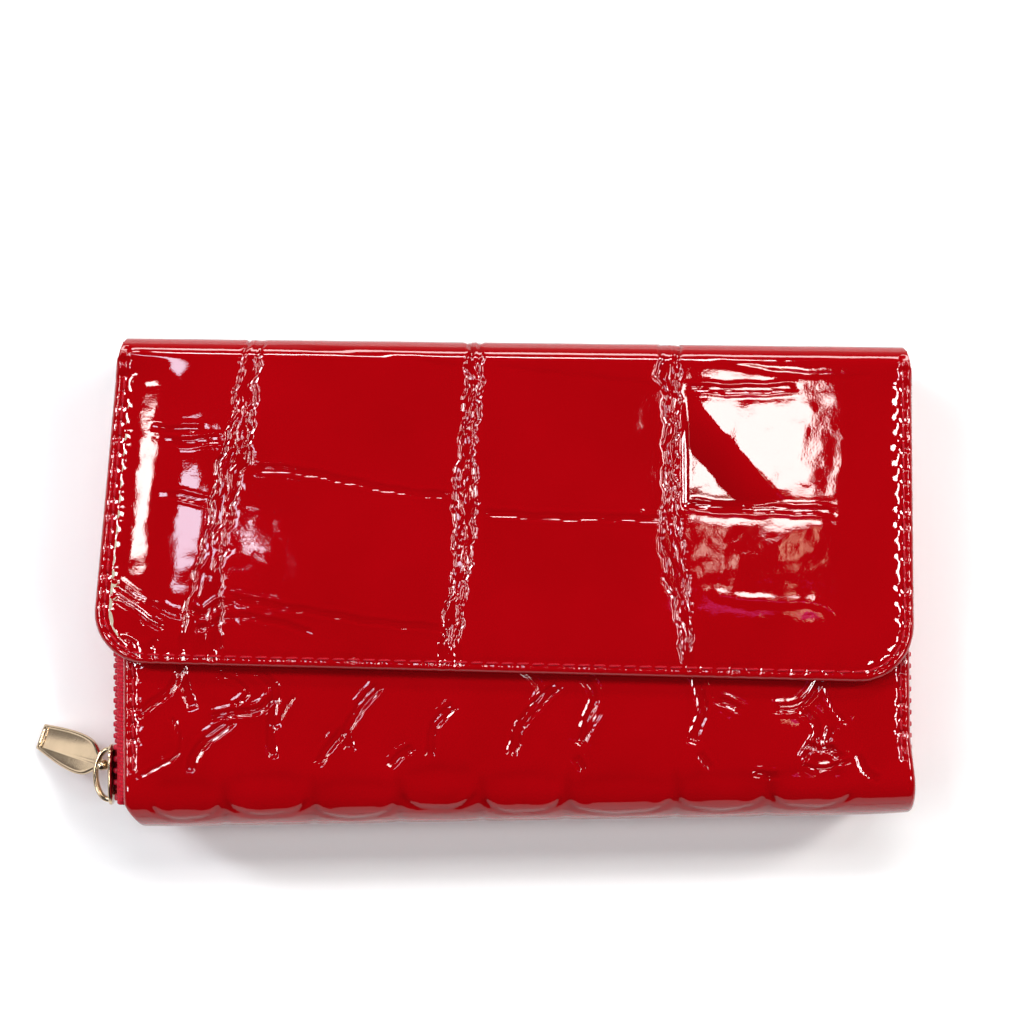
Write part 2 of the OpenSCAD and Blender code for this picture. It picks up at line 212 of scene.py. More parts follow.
def mesh_piece(name, points, faces, material, smooth=True, flat=None, depth=None, solid=False):
    """A mesh object from points in millimetres. flat is each point's place on the uncut material, for the
    patterns. A solid one has its faces turned to look outwards."""
    mesh = bpy.data.meshes.new(name)
    mesh.from_pydata((np.asarray(points, float) * MM).tolist(), [], [tuple(f) for f in faces])
    mesh.validate()
    if solid:
        work = bmesh.new()
        work.from_mesh(mesh)
        bmesh.ops.recalc_face_normals(work, faces=work.faces)
        work.to_mesh(mesh)
        work.free()
    if smooth:
        mesh.polygons.foreach_set("use_smooth", np.ones(len(mesh.polygons), bool))
    if flat is not None:
        layer = mesh.attributes.new("flat", "FLOAT_VECTOR", "POINT")
        layer.data.foreach_set("vector", (np.asarray(flat, float) * MM).astype(np.float32).ravel())
    # depth is how deep the embossing is, which the patent leather turns into painted shade
    if depth is not None:
        layer = mesh.attributes.new("depth", "FLOAT", "POINT")
        layer.data.foreach_set("value", np.asarray(depth, np.float32).ravel())
    mesh.materials.append(material)
    obj = bpy.data.objects.new(name, mesh)
    bpy.context.scene.collection.objects.link(obj)
    return obj


def grid_faces(rows, columns, start=0, wrap=False, flip=False):
    """Quads of a grid of points laid out row by row. wrap joins the last column to the first."""
    faces = []
    for r in range(rows - 1):
        for c in range(columns if wrap else columns - 1):
            d = (c + 1) % columns
            a = start + r * columns
            quad = (a + c, a + d, a + columns + d, a + columns + c)
            faces.append(quad[::-1] if flip else quad)
    return faces


def tube_faces(rows, columns, start=0):
    """Faces of a tube laid out ring by ring, with both ends closed."""
    last = start + (rows - 1) * columns
    return [*grid_faces(rows, columns, start, wrap=True), tuple(range(start + columns - 1, start - 1, -1)),
            tuple(range(last, last + columns))]


# ---------------------------------------------------------------- materials

class Shader:
    """A material's node tree, with short calls for the nodes this script uses."""

    def __init__(self, name, **sockets):
        self.material = bpy.data.materials.new(name)
        self.material.use_nodes = True
        self.tree = self.material.node_tree
        self.surface = self.tree.nodes["Principled BSDF"]
        for key, value in sockets.items():
            socket = self.surface.inputs[key.replace("_", " ")]
            socket.default_value = (*value, 1) if isinstance(value, tuple) and len(value) == 3 else value

    def node(self, kind, inputs=None, **settings):
        n = self.tree.nodes.new("ShaderNode" + kind)
        for key, value in settings.items():
            setattr(n, key, value)
        for key, value in (inputs or {}).items():
            if isinstance(value, bpy.types.NodeSocket):
                self.tree.links.new(value, n.inputs[key])
            else:
                n.inputs[key].default_value = value
        return n

    def place(self, scale=(1, 1, 1), attribute="flat"):
        """Position on the material, in metres times scale."""
        if attribute:
            source = self.node("Attribute", attribute_name=attribute).outputs["Vector"]
        else:
            source = self.node("TexCoord").outputs["Object"]
        return self.node("Mapping", {"Vector": source, "Scale": scale}).outputs[0]

    def noise(self, place, scale, detail=3.0, roughness=0.5):
        return self.node("TexNoise", {"Vector": place, "Scale": scale, "Detail": detail,
                                      "Roughness": roughness}).outputs["Fac"]

    def ramp(self, factor, low, high, low_at=0.0, high_at=1.0):
        """A colour or grey that goes from low to high as factor does from low_at to high_at."""
        n = self.node("ValToRGB", {"Fac": factor})
        for element, value, at in zip(n.color_ramp.elements, (low, high), (low_at, high_at)):
            element.color = (*value, 1) if isinstance(value, tuple) else (value, value, value, 1)
            element.position = at
        return n.outputs["Color"]

    def math(self, operation, a, b=0.5):
        return self.node("Math", {0: a, 1: b}, operation=operation).outputs[0]

    def bump(self, height, strength, distance, before=None):
        inputs = {"Height": height, "Strength": strength, "Distance": distance}
        if before is not None:
            inputs["Normal"] = before
        return self.node("Bump", inputs).outputs[0]

    def set(self, socket, value):
        self.tree.links.new(value, self.surface.inputs[socket])


def patent_leather():
    """High-gloss red patent leather: a deep red base under a clear coat with a faint orange peel, and painted
    shade that darkens the base where the embossing is deep.
    """
    s = Shader("patent_leather", Coat_Weight=1.0, Coat_Roughness=0.02, Coat_IOR=1.65, Specular_IOR_Level=0.0)
    place = s.place()
    cloud = s.noise(place, 45.0, 4.0)
    base = s.ramp(cloud, (0.29, 0.0, 0.0015), (0.32, 0.0, 0.002), 0.3, 0.7)
    # painted shade: the base colour is darkened towards 0.55 where the embossing's grooves are deepest
    groove = s.node("Attribute", attribute_name="depth").outputs["Fac"]
    dark = s.ramp(groove, 1.0, 0.55)
    # sockets 6, 7 and 2 are the colours A, B and Result
    base_with_painted_shade = s.node("Mix", {0: 1.0, 6: base, 7: dark}, data_type="RGBA", blend_type="MULTIPLY")
    s.set("Base Color", base_with_painted_shade.outputs[2])
    s.set("Roughness", s.ramp(s.noise(place, 300.0), 0.22, 0.4, 0.3, 0.7))
    peel = s.bump(s.noise(place, 380.0, 1.0), 0.03, 0.0003)
    peel = s.bump(s.noise(place, 2300.0, 2.0), 0.035, 0.00008, peel)
    s.set("Normal", peel)
    s.set("Coat Normal", peel)
    return s.material


def thread(name, colour):
    """Twisted thread, coloured darker along the grooves of its twist as painted shade."""
    s = Shader(name, Roughness=0.6, Specular_IOR_Level=0.25)
    place = s.place(attribute=None)
    twist = s.node("TexWave", {"Vector": place, "Scale": 1400.0, "Distortion": 0.5},
                   bands_direction="DIAGONAL").outputs["Fac"]
    # painted shade: the grooves of the twist are coloured darker
    s.set("Base Color", s.ramp(twist, tuple(c * 0.6 for c in colour), colour))
    s.set("Normal", s.bump(twist, 0.6, 0.0001))
    return s.material


def woven(name, colour, scale, sheen):
    """A fine plain weave, with ribs along the cloth, coloured darker in the weave's low places as painted shade
    between the threads.
    """
    s = Shader(name, Sheen_Weight=sheen, Sheen_Roughness=0.4, Specular_IOR_Level=0.1)
    place = s.place()
    warp = s.node("TexWave", {"Vector": place, "Scale": 420.0 * scale, "Distortion": 1.2, "Detail": 1.0},
                  bands_direction="X").outputs["Fac"]
    weft = s.node("TexWave", {"Vector": place, "Scale": 300.0 * scale, "Distortion": 1.2, "Detail": 1.0},
                  bands_direction="Y").outputs["Fac"]
    weave = s.math("MULTIPLY", warp, weft)
    fibre = s.noise(place, 2200.0, 3.0)
    height = s.math("ADD", weave, s.math("MULTIPLY", fibre, 0.4))
    # painted shade: low places of the weave are coloured darker, with an uneven fibre tone on top
    s.set("Base Color", s.ramp(height, tuple(c * 0.6 for c in colour), colour, 0.15, 0.8))
    s.set("Roughness", s.ramp(fibre, 0.6, 0.85))
    s.set("Normal", s.bump(height, 0.8, 0.00025))
    return s.material


def moulded(name, colour):
    """Moulded plastic with a faint grain."""
    s = Shader(name, Specular_IOR_Level=0.4)
    place = s.place(attribute=None)
    grain = s.noise(place, 900.0, 3.0)
    s.set("Base Color", s.ramp(grain, tuple(c * 0.85 for c in colour), colour, 0.35, 0.65))
    s.set("Roughness", s.ramp(grain, 0.35, 0.55, 0.3, 0.7))
    s.set("Normal", s.bump(grain, 0.12, 0.0001))
    return s.material


def metal(name, colour, roughness=0.12):
    """Plated metal with fine polishing marks and a few dull patches."""
    s = Shader(name, Metallic=1.0)
    place = s.place((1, 1, 6), attribute=None)
    marks = s.noise(place, 700.0, 5.0, 0.7)
    patch = s.noise(place, 90.0, 2.0)
    s.set("Base Color", s.ramp(patch, tuple(c * 0.88 for c in colour), colour, 0.3, 0.7))
    s.set("Roughness", s.ramp(marks, roughness * 0.7, roughness * 1.7, 0.3, 0.75))
    s.set("Normal", s.bump(marks, 0.05, 0.00008))
    return s.material


def board():
    """Pressed fibre board, for the stiffeners."""
    s = Shader("pressed_board")
    place = s.place(attribute=None)
    fibre = s.noise(place, 260.0, 8.0, 0.7)
    s.set("Base Color", s.ramp(fibre, (0.33, 0.27, 0.19), (0.55, 0.48, 0.36), 0.3, 0.7))
    s.set("Roughness", s.ramp(fibre, 0.75, 0.95))
    s.set("Normal", s.bump(fibre, 0.4, 0.0002))
    return s.material


def soft_leather(name, colour):
    """Semi-matt lining leather with a fine pebbled grain."""
    s = Shader(name, Coat_Weight=0.1, Coat_Roughness=0.35)
    place = s.place()
    cells = s.node("TexVoronoi", {"Vector": place, "Scale": 900.0, "Randomness": 1.0},
                   feature="DISTANCE_TO_EDGE").outputs["Distance"]
    grain = s.ramp(cells, 0.0, 1.0, 0.0, 0.25)
    cloud = s.noise(place, 70.0, 4.0)
    s.set("Base Color", s.ramp(cloud, tuple(c * 0.75 for c in colour), colour, 0.3, 0.7))
    s.set("Roughness", s.ramp(grain, 0.6, 0.42))
    s.set("Normal", s.bump(grain, 0.35, 0.00012))
    return s.material


PATENT = patent_leather()
RED_THREAD = thread("red_thread", (0.52, 0.0, 0.012))
ZIP_TAPE = woven("zip_tape", (0.66, 0.0, 0.02), 1.0, 0.0)
ZIP_TEETH = moulded("zip_teeth", (0.50, 0.0, 0.022))
LINING = woven("lining_cloth", (0.26, 0.006, 0.018), 1.6, 0.08)
SLIP = soft_leather("slip_leather", (0.42, 0.012, 0.03))
GOLD = metal("pale_gold", (0.66, 0.50, 0.33))
STEEL = metal("snap_steel", (0.72, 0.72, 0.74), 0.18)
BOARD = board()
MATERIAL_OF = {                             # by slot of the record, which has none for the thread
    "patent_leather": PATENT, "zip_tape": ZIP_TAPE, "zip_teeth": ZIP_TEETH, "lining_fabric": LINING,
    "lining_leather": SLIP, "gold_metal": GOLD, "snap_metal": STEEL, "board": BOARD,
}


# ---------------------------------------------------------------- croc embossing

def crease(x, y, points, depth=0.25, width=0.42, pair=0.0, lip=0.08, pillow=0.12, spread=2.4, ends=2.5):
    """Height of one pressed crease. pair is the distance between the two grooves of a double crease."""
    line = curve_through(points)
    reach = 3 * spread
    low, high = line.min(0) - reach, line.max(0) + reach
    near = (x > low[0]) & (x < high[0]) & (y > low[1]) & (y < high[1])
    total = np.zeros(x.shape)
    d, side, along, run = distance_to(x[near], y[near], line)
    fade = smoothstep(along / ends) * smoothstep((run - along) / ends)
    waver = 0.85 + 0.15 * np.sin(along * 0.9 + points[0][0]) * np.sin(along * 0.37 + points[0][1])
    shift = 0.12 * np.sin(along * 0.8 + points[-1][0]) + 0.05 * np.sin(along * 2.3)
    off = np.abs(d * side + shift) - pair / 2
    groove = -depth * bell(off, width) * waver
    raised = lip * bell(off - 2.2 * width, 1.5 * width) * waver
    total[near] = fade * (groove + raised - pillow * bell(d, spread))
    return total


BAND_DEPTH = 0.12                           # how far a wrinkled band lies below the scales beside it


def wrinkle_band(x, v, left, right, count, seed, height=0.16):
    """A band of small lengthwise wrinkles between two lines, given as (x, v) points."""
    draw = np.random.default_rng(seed)
    left = np.array(sorted(left, key=lambda p: p[1]))
    right = np.array(sorted(right, key=lambda p: p[1]))
    low = max(left[0][1], right[0][1])
    high = min(left[-1][1], right[-1][1])
    xl = np.interp(v, left[:, 1], left[:, 0]) + 0.5
    xl = xl + 0.30 * np.sin(v * 0.9 + seed) + 0.14 * np.sin(v * 2.3 + 2 * seed)
    xr = np.interp(v, right[:, 1], right[:, 0]) - 0.5
    xr = xr + 0.30 * np.sin(v * 1.05 + 3 * seed) + 0.14 * np.sin(v * 2.6 + seed)
    ends = smoothstep((v - low) / 3 + 0.5) * smoothstep((high - v) / 3 + 0.5)
    inside = smoothstep((x - xl) / 0.8 + 0.5) * smoothstep((xr - x) / 0.8 + 0.5) * ends
    total = -BAND_DEPTH * inside
    left_cut = 0.15 + 0.07 * np.sin(v * 0.55 + 5 * seed)
    right_cut = 0.15 + 0.07 * np.sin(v * 0.62 + 2 * seed)
    total -= ends * (left_cut * bell(x - xl, 0.34) + right_cut * bell(x - xr, 0.34))
    area = np.nonzero((x > xl - 2) & (x < xr + 2) & (v > low - 2) & (v < high + 2))
    xa, va, xla, xra = x[area], v[area], xl[area], xr[area]
    local = np.zeros(xa.shape)
    for _ in range(round(1.4 * count)):
        middle = draw.uniform(low, high)
        share = draw.uniform(0.0, 1.0)
        long = draw.uniform(1.2, 4.6)
        wide = draw.uniform(0.18, 0.30)
        tilt = draw.normal(0, 0.11)
        bend = draw.normal(0, 0.03)
        rise = height * draw.uniform(0.4, 1.1) * draw.choice([1, 1, -1])
        dv = va - middle
        dx = xa - (xla + share * (xra - xla)) - tilt * dv - bend * dv * dv
        local += rise * bell(dx, wide) * bell(dv, long)
    total[area] += np.clip(local, -0.5, 0.5) * inside[area]
    return total


def wobble(x, y, amount, short, long, seed, waves=36):
    """A smooth, uneven waviness with wavelengths from short to long."""
    draw = np.random.default_rng(seed)
    total = np.zeros(x.shape)
    for _ in range(waves):
        wavelength = draw.uniform(short, long)
        a = draw.uniform(0, math.tau)
        k = math.tau / wavelength
        phase = k * (x * math.cos(a) + y * math.sin(a)) + draw.uniform(0, math.tau)
        total += np.sin(phase) * wavelength / long
    return amount * total / math.sqrt(waves)


# The three wrinkled bands that cross the flap from its fold to its free edge, and run on down its spine:
# left side, right side, number of wrinkles. v is the distance up the unrolled leather, equal to y on the
# flap's flat face.
V_BACK = Y_TOP + 60
BANDS_SEEN = (
    (((-55.5, V_BACK), (-54.5, 52), (-58.0, 39.6), (-59.7, 30), (-61.9, 24), (-63.6, 14), (-65.8, 5),
      (-68.5, -4.5), (-70.5, -18)),
     ((-50.0, V_BACK), (-50.3, 52), (-52.7, 42), (-54.7, 24), (-56.4, 22), (-59.2, 9), (-60.3, 4),
      (-60.5, -3), (-60.5, -18)), 95),
    (((-12.5, V_BACK), (-10.3, 52), (-10.9, 41), (-11.9, 29), (-13.5, 20), (-13.5, 3), (-16.0, -9),
      (-17, -18)),
     ((-7.5, V_BACK), (-6.6, 52), (-7.0, 38), (-8.6, 28), (-8.2, 16), (-9.2, 6), (-10.9, -4),
      (-12.5, -18)), 70),
    (((29.5, V_BACK), (29.0, 52), (28.4, 42.6), (29.7, 39), (30, 35), (29.7, 17), (28.6, 10.5), (29.9, 0),
      (31.6, -6), (33.4, -18)),
     ((34.5, V_BACK), (33.8, 52), (33.6, 40), (33, 27), (33, 17), (33.6, 13), (35.6, -2.5), (35.9, -18)), 60),
)
BANDS = [(in_sight(left, FLAP_Z), in_sight(right, FLAP_Z), count) for left, right, count in BANDS_SEEN]
FLAP_CREASES = (
    ((-73, 28.6), (-68, 28.2), (-60, 29)),
    ((-74, 18.0), (-70, 17.7), (-63, 16.5)),
    ((-84, 1.0), (-78, -3), (-68, -7)),
    ((-55, 23.4), (-45, 22.6), (-36, 20.9), (-24, 18.6), (-13.5, 17.6)),
    ((-60, -2.6), (-50, -4.6), (-40, -6.2), (-30, -8.0), (-15, -9.5)),
    ((-8, 14.4), (4, 13.4), (18, 13.2), (31, 12.7)),
    ((34, 40.2), (46, 39.8), (58, 40.4)),
    ((34, 15.8), (44, 14.9), (54, 14.8), (66, 14.2)),
)
# puckers in the flap's lower left corner, and beside the first band
CORNER_CREASES = (
    ((-83.5, -2.5), (-79.5, -4.5), (-76, -7.4), (-72, -9.2)),
    ((-82, -11), (-77.5, -12.5), (-73, -11.8)),
    ((-67.5, -4.5), (-64.5, -6.2), (-61, -4.0), (-57.5, -4.4)),
    ((-66.8, -9.2), (-63, -8.6), (-59.5, -6.8), (-56.5, -8.2)),
    ((-58, -6.4), (-50, -7.8), (-42, -10.2)),
    ((-75, 31.5), (-70.5, 30.6), (-64, 31)),
)
FLAP_FOLDS = (                              # soft folds: points, height, width
    (((36, -1.8), (44, -3.4), (52, -4.2), (62, -4.8), (67, -9.6), (70, -14)), 0.05, 1.2),
    (((-53, 48.6), (-38, 47.2), (-22, 45.4), (-8, 43.2)), -0.07, 0.5),
    (((-7, 44.4), (12, 42.4), (31, 40.6)), -0.08, 0.5),
    (((34, 46.6), (44, 45.2), (56, 43.4), (76, 43)), -0.07, 0.5),
)
FLAP_CREASE = dict(depth=0.17, width=0.27, pair=0.8, lip=0.08, pillow=0.03, spread=2.0)
CORNER_CREASE = dict(depth=0.18, width=0.28, pair=0.7, lip=0.09, pillow=0.04, ends=1.5)
PANEL_CREASE = dict(depth=0.20, width=0.30, lip=0.12, pillow=0.08, ends=1.2)
BACK_ROWS = (60, 78)                        # heights v of the rows of scales on the flap's spine
BACK_SCALES = ((-84, -56), (-50, -13), (-7, 30), (35, 84))   # and where each scale starts and ends
FACET = ((36.0, 37.5), (54.5, 16.5))        # both ends of the diagonal across the upper right scale


def facet(x, v):
    """The lower left corner of the upper right scale, which leans away along a diagonal."""
    (x0, v0), (x1, v1) = FACET
    length = math.hypot(x1 - x0, v1 - v0)
    below = ((x1 - x0) * (v0 - v) + (v1 - v0) * (x - x0)) / length
    fall = 0.045 * np.clip(below, 0, 7.5)
    return -fall * smoothstep((x - 33) / 1.6) * smoothstep((v - 15) / 1.6) * smoothstep((57 - x) / 4)


def flap_relief(x, v):
    """Height of the embossing on the flap, with x across and v up the unrolled leather."""
    h = facet(x, v)
    for seed, (left, right, count) in enumerate(BANDS):
        h += wrinkle_band(x, v, left, right, count, 40 + seed)
    for points in FLAP_CREASES:
        h += crease(x, v, in_sight(points, FLAP_Z), **FLAP_CREASE)
    for points in CORNER_CREASES:
        h += crease(x, v, in_sight(points, FLAP_Z), **CORNER_CREASE)
    for points, rise, width in FLAP_FOLDS:
        h += crease(x, v, in_sight(points, FLAP_Z), depth=-rise, width=width, lip=0.0, pillow=0.0,
                    spread=3 * width, ends=6)
    for k, row in enumerate(BACK_ROWS):
        for i, (start, end) in enumerate(BACK_SCALES):
            lift = (-1) ** (i + k) * 1.6
            middle = ((start + end) / 2, row - 0.8 + lift)
            h += crease(x, v, ((start, row + lift), middle, (end, row + lift)), pair=0.9)
    h += wobble(x, v, 0.016, 7, 20, 5) + wobble(x, v, 0.005, 2.6, 6, 6)
    return h


# Creases between the rounded scales of the front panel below the flap: points, and the distance between
# their two grooves
PANEL_CREASES = (
    (((-79, -27.5), (-74.5, -24), (-71, -21), (-68.5, -16)), 0.9),
    (((-69.5, -17), (-68, -21), (-66.5, -26)), 1.2),
    (((-71.3, -27), (-69.3, -30.5), (-70, -34.4), (-73, -36.8), (-78.5, -39.2)), 0.0),
    (((-58.5, -27.6), (-64.2, -32.2), (-66.6, -35), (-67.2, -38.6)), 1.2),
    (((-63.5, -27.2), (-57.5, -26.4), (-53, -25.6), (-50.2, -23.2)), 0.8),
    (((-53.8, -17.5), (-50, -21.6), (-50.6, -26), (-51, -31.2), (-50, -36)), 1.1),
    (((-45.6, -22.6), (-48.4, -26.2), (-49.4, -30)), 0.0),
    (((-62, -18.6), (-58, -19.6), (-55.6, -22.4), (-58.5, -25.4)), 0.0),
    (((-28.6, -20.6), (-33, -26), (-35.3, -30), (-34.4, -34.6)), 1.2),
    (((-36, -29.6), (-38.6, -33), (-41.6, -37.4)), 1.0),
    (((-12.9, -25), (-17, -28.4), (-18, -32), (-18.4, -36)), 1.2),
    (((-21.6, -33.4), (-24.4, -35.4), (-27, -38)), 0.9),
    (((8.4, -20.6), (2.8, -25.8), (-0.2, -30.4), (-1.8, -36)), 1.3),
    (((0.5, -18), (4.4, -22.4), (2.4, -26)), 0.0),
    (((13.4, -19.5), (15.4, -23), (14.1, -27), (12.3, -33.8)), 0.9),
    (((17, -26.5), (14.4, -30.5), (12.6, -34)), 0.0),
    (((11.2, -35.4), (13.4, -39.4)), 0.9),
    (((35.4, -18), (37.3, -23), (37.4, -27), (35.2, -33.8)), 1.2),
    (((36.6, -35), (39, -39.4)), 0.9),
    (((52, -26.4), (58, -25.4), (61.2, -21), (62, -17)), 0.9),
    (((57.6, -26), (60.8, -29.6), (60.3, -33.4), (57, -37.4)), 1.0),
    (((62.4, -21), (64.4, -26), (67, -30)), 0.0),
    (((64, -30), (63, -34), (66.4, -37.6)), 0.9),
    (((57, -38.4), (62, -39.2), (67.6, -37.6)), 0.0),
    (((69, -36), (70.6, -40), (73.5, -42)), 0.9),
    (((40.6, -24), (43.4, -25.4), (45.4, -27)), 0.8),
    (((58.5, -33.5), (61.6, -35.2), (65.4, -34.4)), 0.6),
    (((47, -39.8), (50.5, -40.6), (53.2, -40.2)), 0.6),
)
LOWER_GROOVES = (-75, -60, -42, -24.6, -7.8, 9.4, 31.4, 50, 67.6)   # between the scales of the bottom spine
LOWER_TOPS = (-38, -37, -38.5, -36, -37.5, -38.5, -38, -37.5)       # and how far up each of them reaches
LOWER_ROW = 11                              # from one row of those scales to the next
SCALE_ROW = 19                              # the same on the back panel


def spine_scales(x, q):
    """Height of the scales that run round the bottom spine, in two rows below the front panel's."""
    h = np.zeros(x.shape)
    for left, right, top in zip(LOWER_GROOVES, LOWER_GROOVES[1:], LOWER_TOPS):
        mid, half = (left + right) / 2, (right - left) / 2
        arch = [(mid - half * math.cos(a), top - 4 + 2.5 * math.sin(a))
                for a in np.linspace(0.2, math.pi - 0.2, 7)]
        h += crease(x, q, arch, depth=0.08, width=1.0, lip=0.0, pillow=0.08, spread=3, ends=4)
        bowl = [(mid - (half - 0.6) * math.cos(a), top - 5.5 - 4.5 * math.sin(a))
                for a in np.linspace(0, math.pi, 7)]
        h += crease(x, q, bowl, depth=0.16, width=0.5, lip=0.10, pillow=0.10, ends=2)
        bowl = [(px, py - LOWER_ROW) for px, py in bowl]
        h += crease(x, q, bowl, depth=0.26, width=0.5, lip=0.14, pillow=0.2, ends=1)
    for groove in LOWER_GROOVES[1:-1]:
        h += crease(x, q, ((groove, -37), (groove + 0.6, -44), (groove, -60)), depth=0.12, width=0.9, lip=0,
                    pillow=0.12, spread=2.2, ends=4)
    return h


def panel_relief(x, q):
    """Height of the embossing on the body, where q is y on the front panel and runs on down round the spine
    and along the back."""
    h = np.zeros(x.shape)
    front = q > -46
    for points, pair in PANEL_CREASES:
        h[front] += crease(x[front], q[front], in_sight(points, BODY_T), pair=1.15 * pair, **PANEL_CREASE)
    h += spine_scales(x, q) + back_relief(x, q)
    h += wobble(x, q, 0.02, 7, 20, 8) + wobble(x, q, 0.006, 2.6, 6, 9)
    return h


SPINE_ARC = 39.4                            # length of leather round the bottom spine
Q_BACK = Y_FLAT - SPINE_ARC                 # where the back panel starts
BACK_BANDS = ((-58, -2.0), (-28, 1.4), (2, -1.2), (30, 1.8), (58, 1.5))   # x, and how far each bows out
BACK_COLUMNS = (-84, *(x for x, bow in BACK_BANDS), 84)


def back_relief(x, q):
    """Large, long scales on the back panel, growing smaller towards the bottom spine."""
    h = np.zeros(x.shape)
    back = q < Q_BACK + 14
    xb, qb = x[back], q[back]
    part = np.zeros(xb.shape)
    far = Q_BACK - (SEAM_Y - Y_FLAT)
    for k, (column, bow) in enumerate(BACK_BANDS):
        middle = (far + Q_BACK) / 2
        left = ((column - 2.2, far - 6), (column - 2 + bow, middle), (column - 1.2, Q_BACK + 10))
        right = ((column + 2.2, far - 6), (column + 1.8 + bow, middle), (column + 1.2, Q_BACK + 10))
        part += wrinkle_band(xb, qb, left, right, 60, 70 + k, height=0.2)
    for i, (left, right) in enumerate(zip(BACK_COLUMNS, BACK_COLUMNS[1:])):
        for j in range(4):
            low = Q_BACK + 3 - j * SCALE_ROW - (i % 2) * 7
            line = ((left + 1.5, low + 0.6), ((left + right) / 2, low - 1.2), (right - 1.5, low + 0.4))
            part += crease(xb, qb, line, pair=0.9)
    h[back] = part
    return h


# ---------------------------------------------------------------- the outer leather

EDGE_STEPS = np.array([0, 0.1, 0.24, 0.42, 0.64, 0.9, 1.2, 1.55, 1.9, 2.25, 2.6, 3.0])
EDGE_R = 1.0                                # rounding of a turned edge
FINE_ROW = 0.36                             # distance between rows of points on the embossed faces


def edge_drop(e):
    """How far a turned edge rounds down, e from the edge."""
    inside = np.clip(1 - e / EDGE_R, 0, 1)
    return EDGE_R * (1 - np.sqrt(np.clip(1 - inside ** 2, 0, 1)))


def stitch_dents(along, e):
    """The pressed line that stitches lie in, with a puckered hole at each end of a stitch."""
    phase = along / STITCH_PITCH
    hole = np.abs(phase - np.round(phase)) * STITCH_PITCH
    line = bell(e - STITCH_INSET, 0.5)
    number = np.round(phase)
    uneven = 0.7 + 0.5 * np.sin(number * 2.4) * np.sin(number * 1.1 + 0.6)
    dents = -0.16 * line - 0.34 * uneven * bell(hole, 0.5) * bell(e - STITCH_INSET, 0.55)
    pucker = 0.15 * uneven * np.cos(math.tau * phase) * (bell(e - 1.0, 0.7) + 0.5 * bell(e - 3.0, 0.8))
    return dents - pucker * smoothstep(e / 0.4)


def taper(points):
    """The real body is a little longer at its left end than at its right one."""
    p = np.array(points, float)
    share = p[:, 0] / HALF_W
    top = smoothstep((p[:, 1] - 5) / (Y_TOP - 5))
    bottom = smoothstep((-p[:, 1] - 20) / (-Y_BOTTOM - 20))
    p[:, 1] += top * (0.2 - 1.15 * share) + bottom * (0.35 + 0.8 * share)
    return p


def flap_half(yp):
    """Half the flap's width at yp, before it is skewed, without its rounded corners."""
    return FLAP_HALF + FLAP_FLARE * np.clip((Y_TOP - yp) / (FLAP_L - FLAP_R), 0, 1)


def flap_end(yp):
    """Half the flap's width at yp, with its rounded corners and a small one at the fold."""
    d = np.clip(yp - FLAP_FREE, 0, FLAP_R)
    corner = FLAP_R - np.sqrt(np.clip(FLAP_R ** 2 - (FLAP_R - d) ** 2, 0, None))
    return flap_half(yp) - corner


def flap_inset(xp, yp):
    """Distance inside the flap's outline."""
    side = flap_half(yp) - np.abs(xp)
    free = yp - FLAP_FREE
    in_corner = (side < FLAP_R) & (free < FLAP_R)
    round_off = FLAP_R - np.hypot(FLAP_R - side, FLAP_R - free)
    return np.where(in_corner, round_off, np.minimum(side, free))


def skewed(xp, yp):
    """Places on the flap's flat outline, moved to where the skewed flap has them."""
    t = np.clip((Y_TOP - yp) / FLAP_L, 0, None)
    return xp - FLAP_SKEW * t, yp - FLAP_SLOPE * t * xp / (2 * FLAP_HALF)


TOP_RUN = Y_TOP - FOLD_R - FLAP_FREE
FOLD_RUN = FOLD_R * math.pi / 2
WALL_RUN = FLAP_Z - FOLD_R - FOOT_R
FOOT_RUN = FOOT_R * math.pi / 2
STRIP_RUN = Y_TOP - FOOT_R - SEAM_Y
FLAP_RUN = TOP_RUN + FOLD_RUN + WALL_RUN + FOOT_RUN + STRIP_RUN
SPLIT_RUN = TOP_RUN + FOLD_RUN + (FLAP_Z - FOLD_R - SPLIT_Z)


def flap_section(s):
    """Place (y, z) and outward direction of the flap's leather, s along it from the free edge round to the
    back."""
    y, z, ny, nz = (np.zeros(s.shape) for _ in range(4))
    marks = np.cumsum([0, TOP_RUN, FOLD_RUN, WALL_RUN, FOOT_RUN])
    stretch = np.clip(np.searchsorted(marks, s, side="right") - 1, 0, 4)
    t = s - marks[stretch]
    k = stretch == 0
    y[k], z[k], nz[k] = FLAP_FREE + t[k], FLAP_Z, 1
    k = stretch == 1
    a = t[k] / FOLD_R
    y[k], z[k] = Y_TOP - FOLD_R + FOLD_R * np.sin(a), FLAP_Z - FOLD_R + FOLD_R * np.cos(a)
    ny[k], nz[k] = np.sin(a), np.cos(a)
    k = stretch == 2
    y[k], z[k], ny[k] = Y_TOP, FLAP_Z - FOLD_R - t[k], 1
    k = stretch == 3
    a = t[k] / FOOT_R
    y[k], z[k] = Y_TOP - FOOT_R + FOOT_R * np.cos(a), FOOT_R - FOOT_R * np.sin(a)
    ny[k], nz[k] = np.cos(a), -np.sin(a)
    k = stretch == 4
    y[k], z[k], nz[k] = Y_TOP - FOOT_R - t[k], 0, -1
    return y, z, ny, nz


def flap_crown(xp, yp):
    """The flap's padded middle, which falls away towards its ends and its free edge."""
    left = np.clip((-xp - 62) / (flap_half(yp) - 62), 0, 1)
    right = np.clip((xp - 66) / (flap_half(yp) - 66), 0, 1)
    free = np.clip(1 - (yp - FLAP_FREE) / 14, 0, 1)
    return -1.7 * left ** 2 - 1.2 * right ** 2 - 0.6 * free ** 2


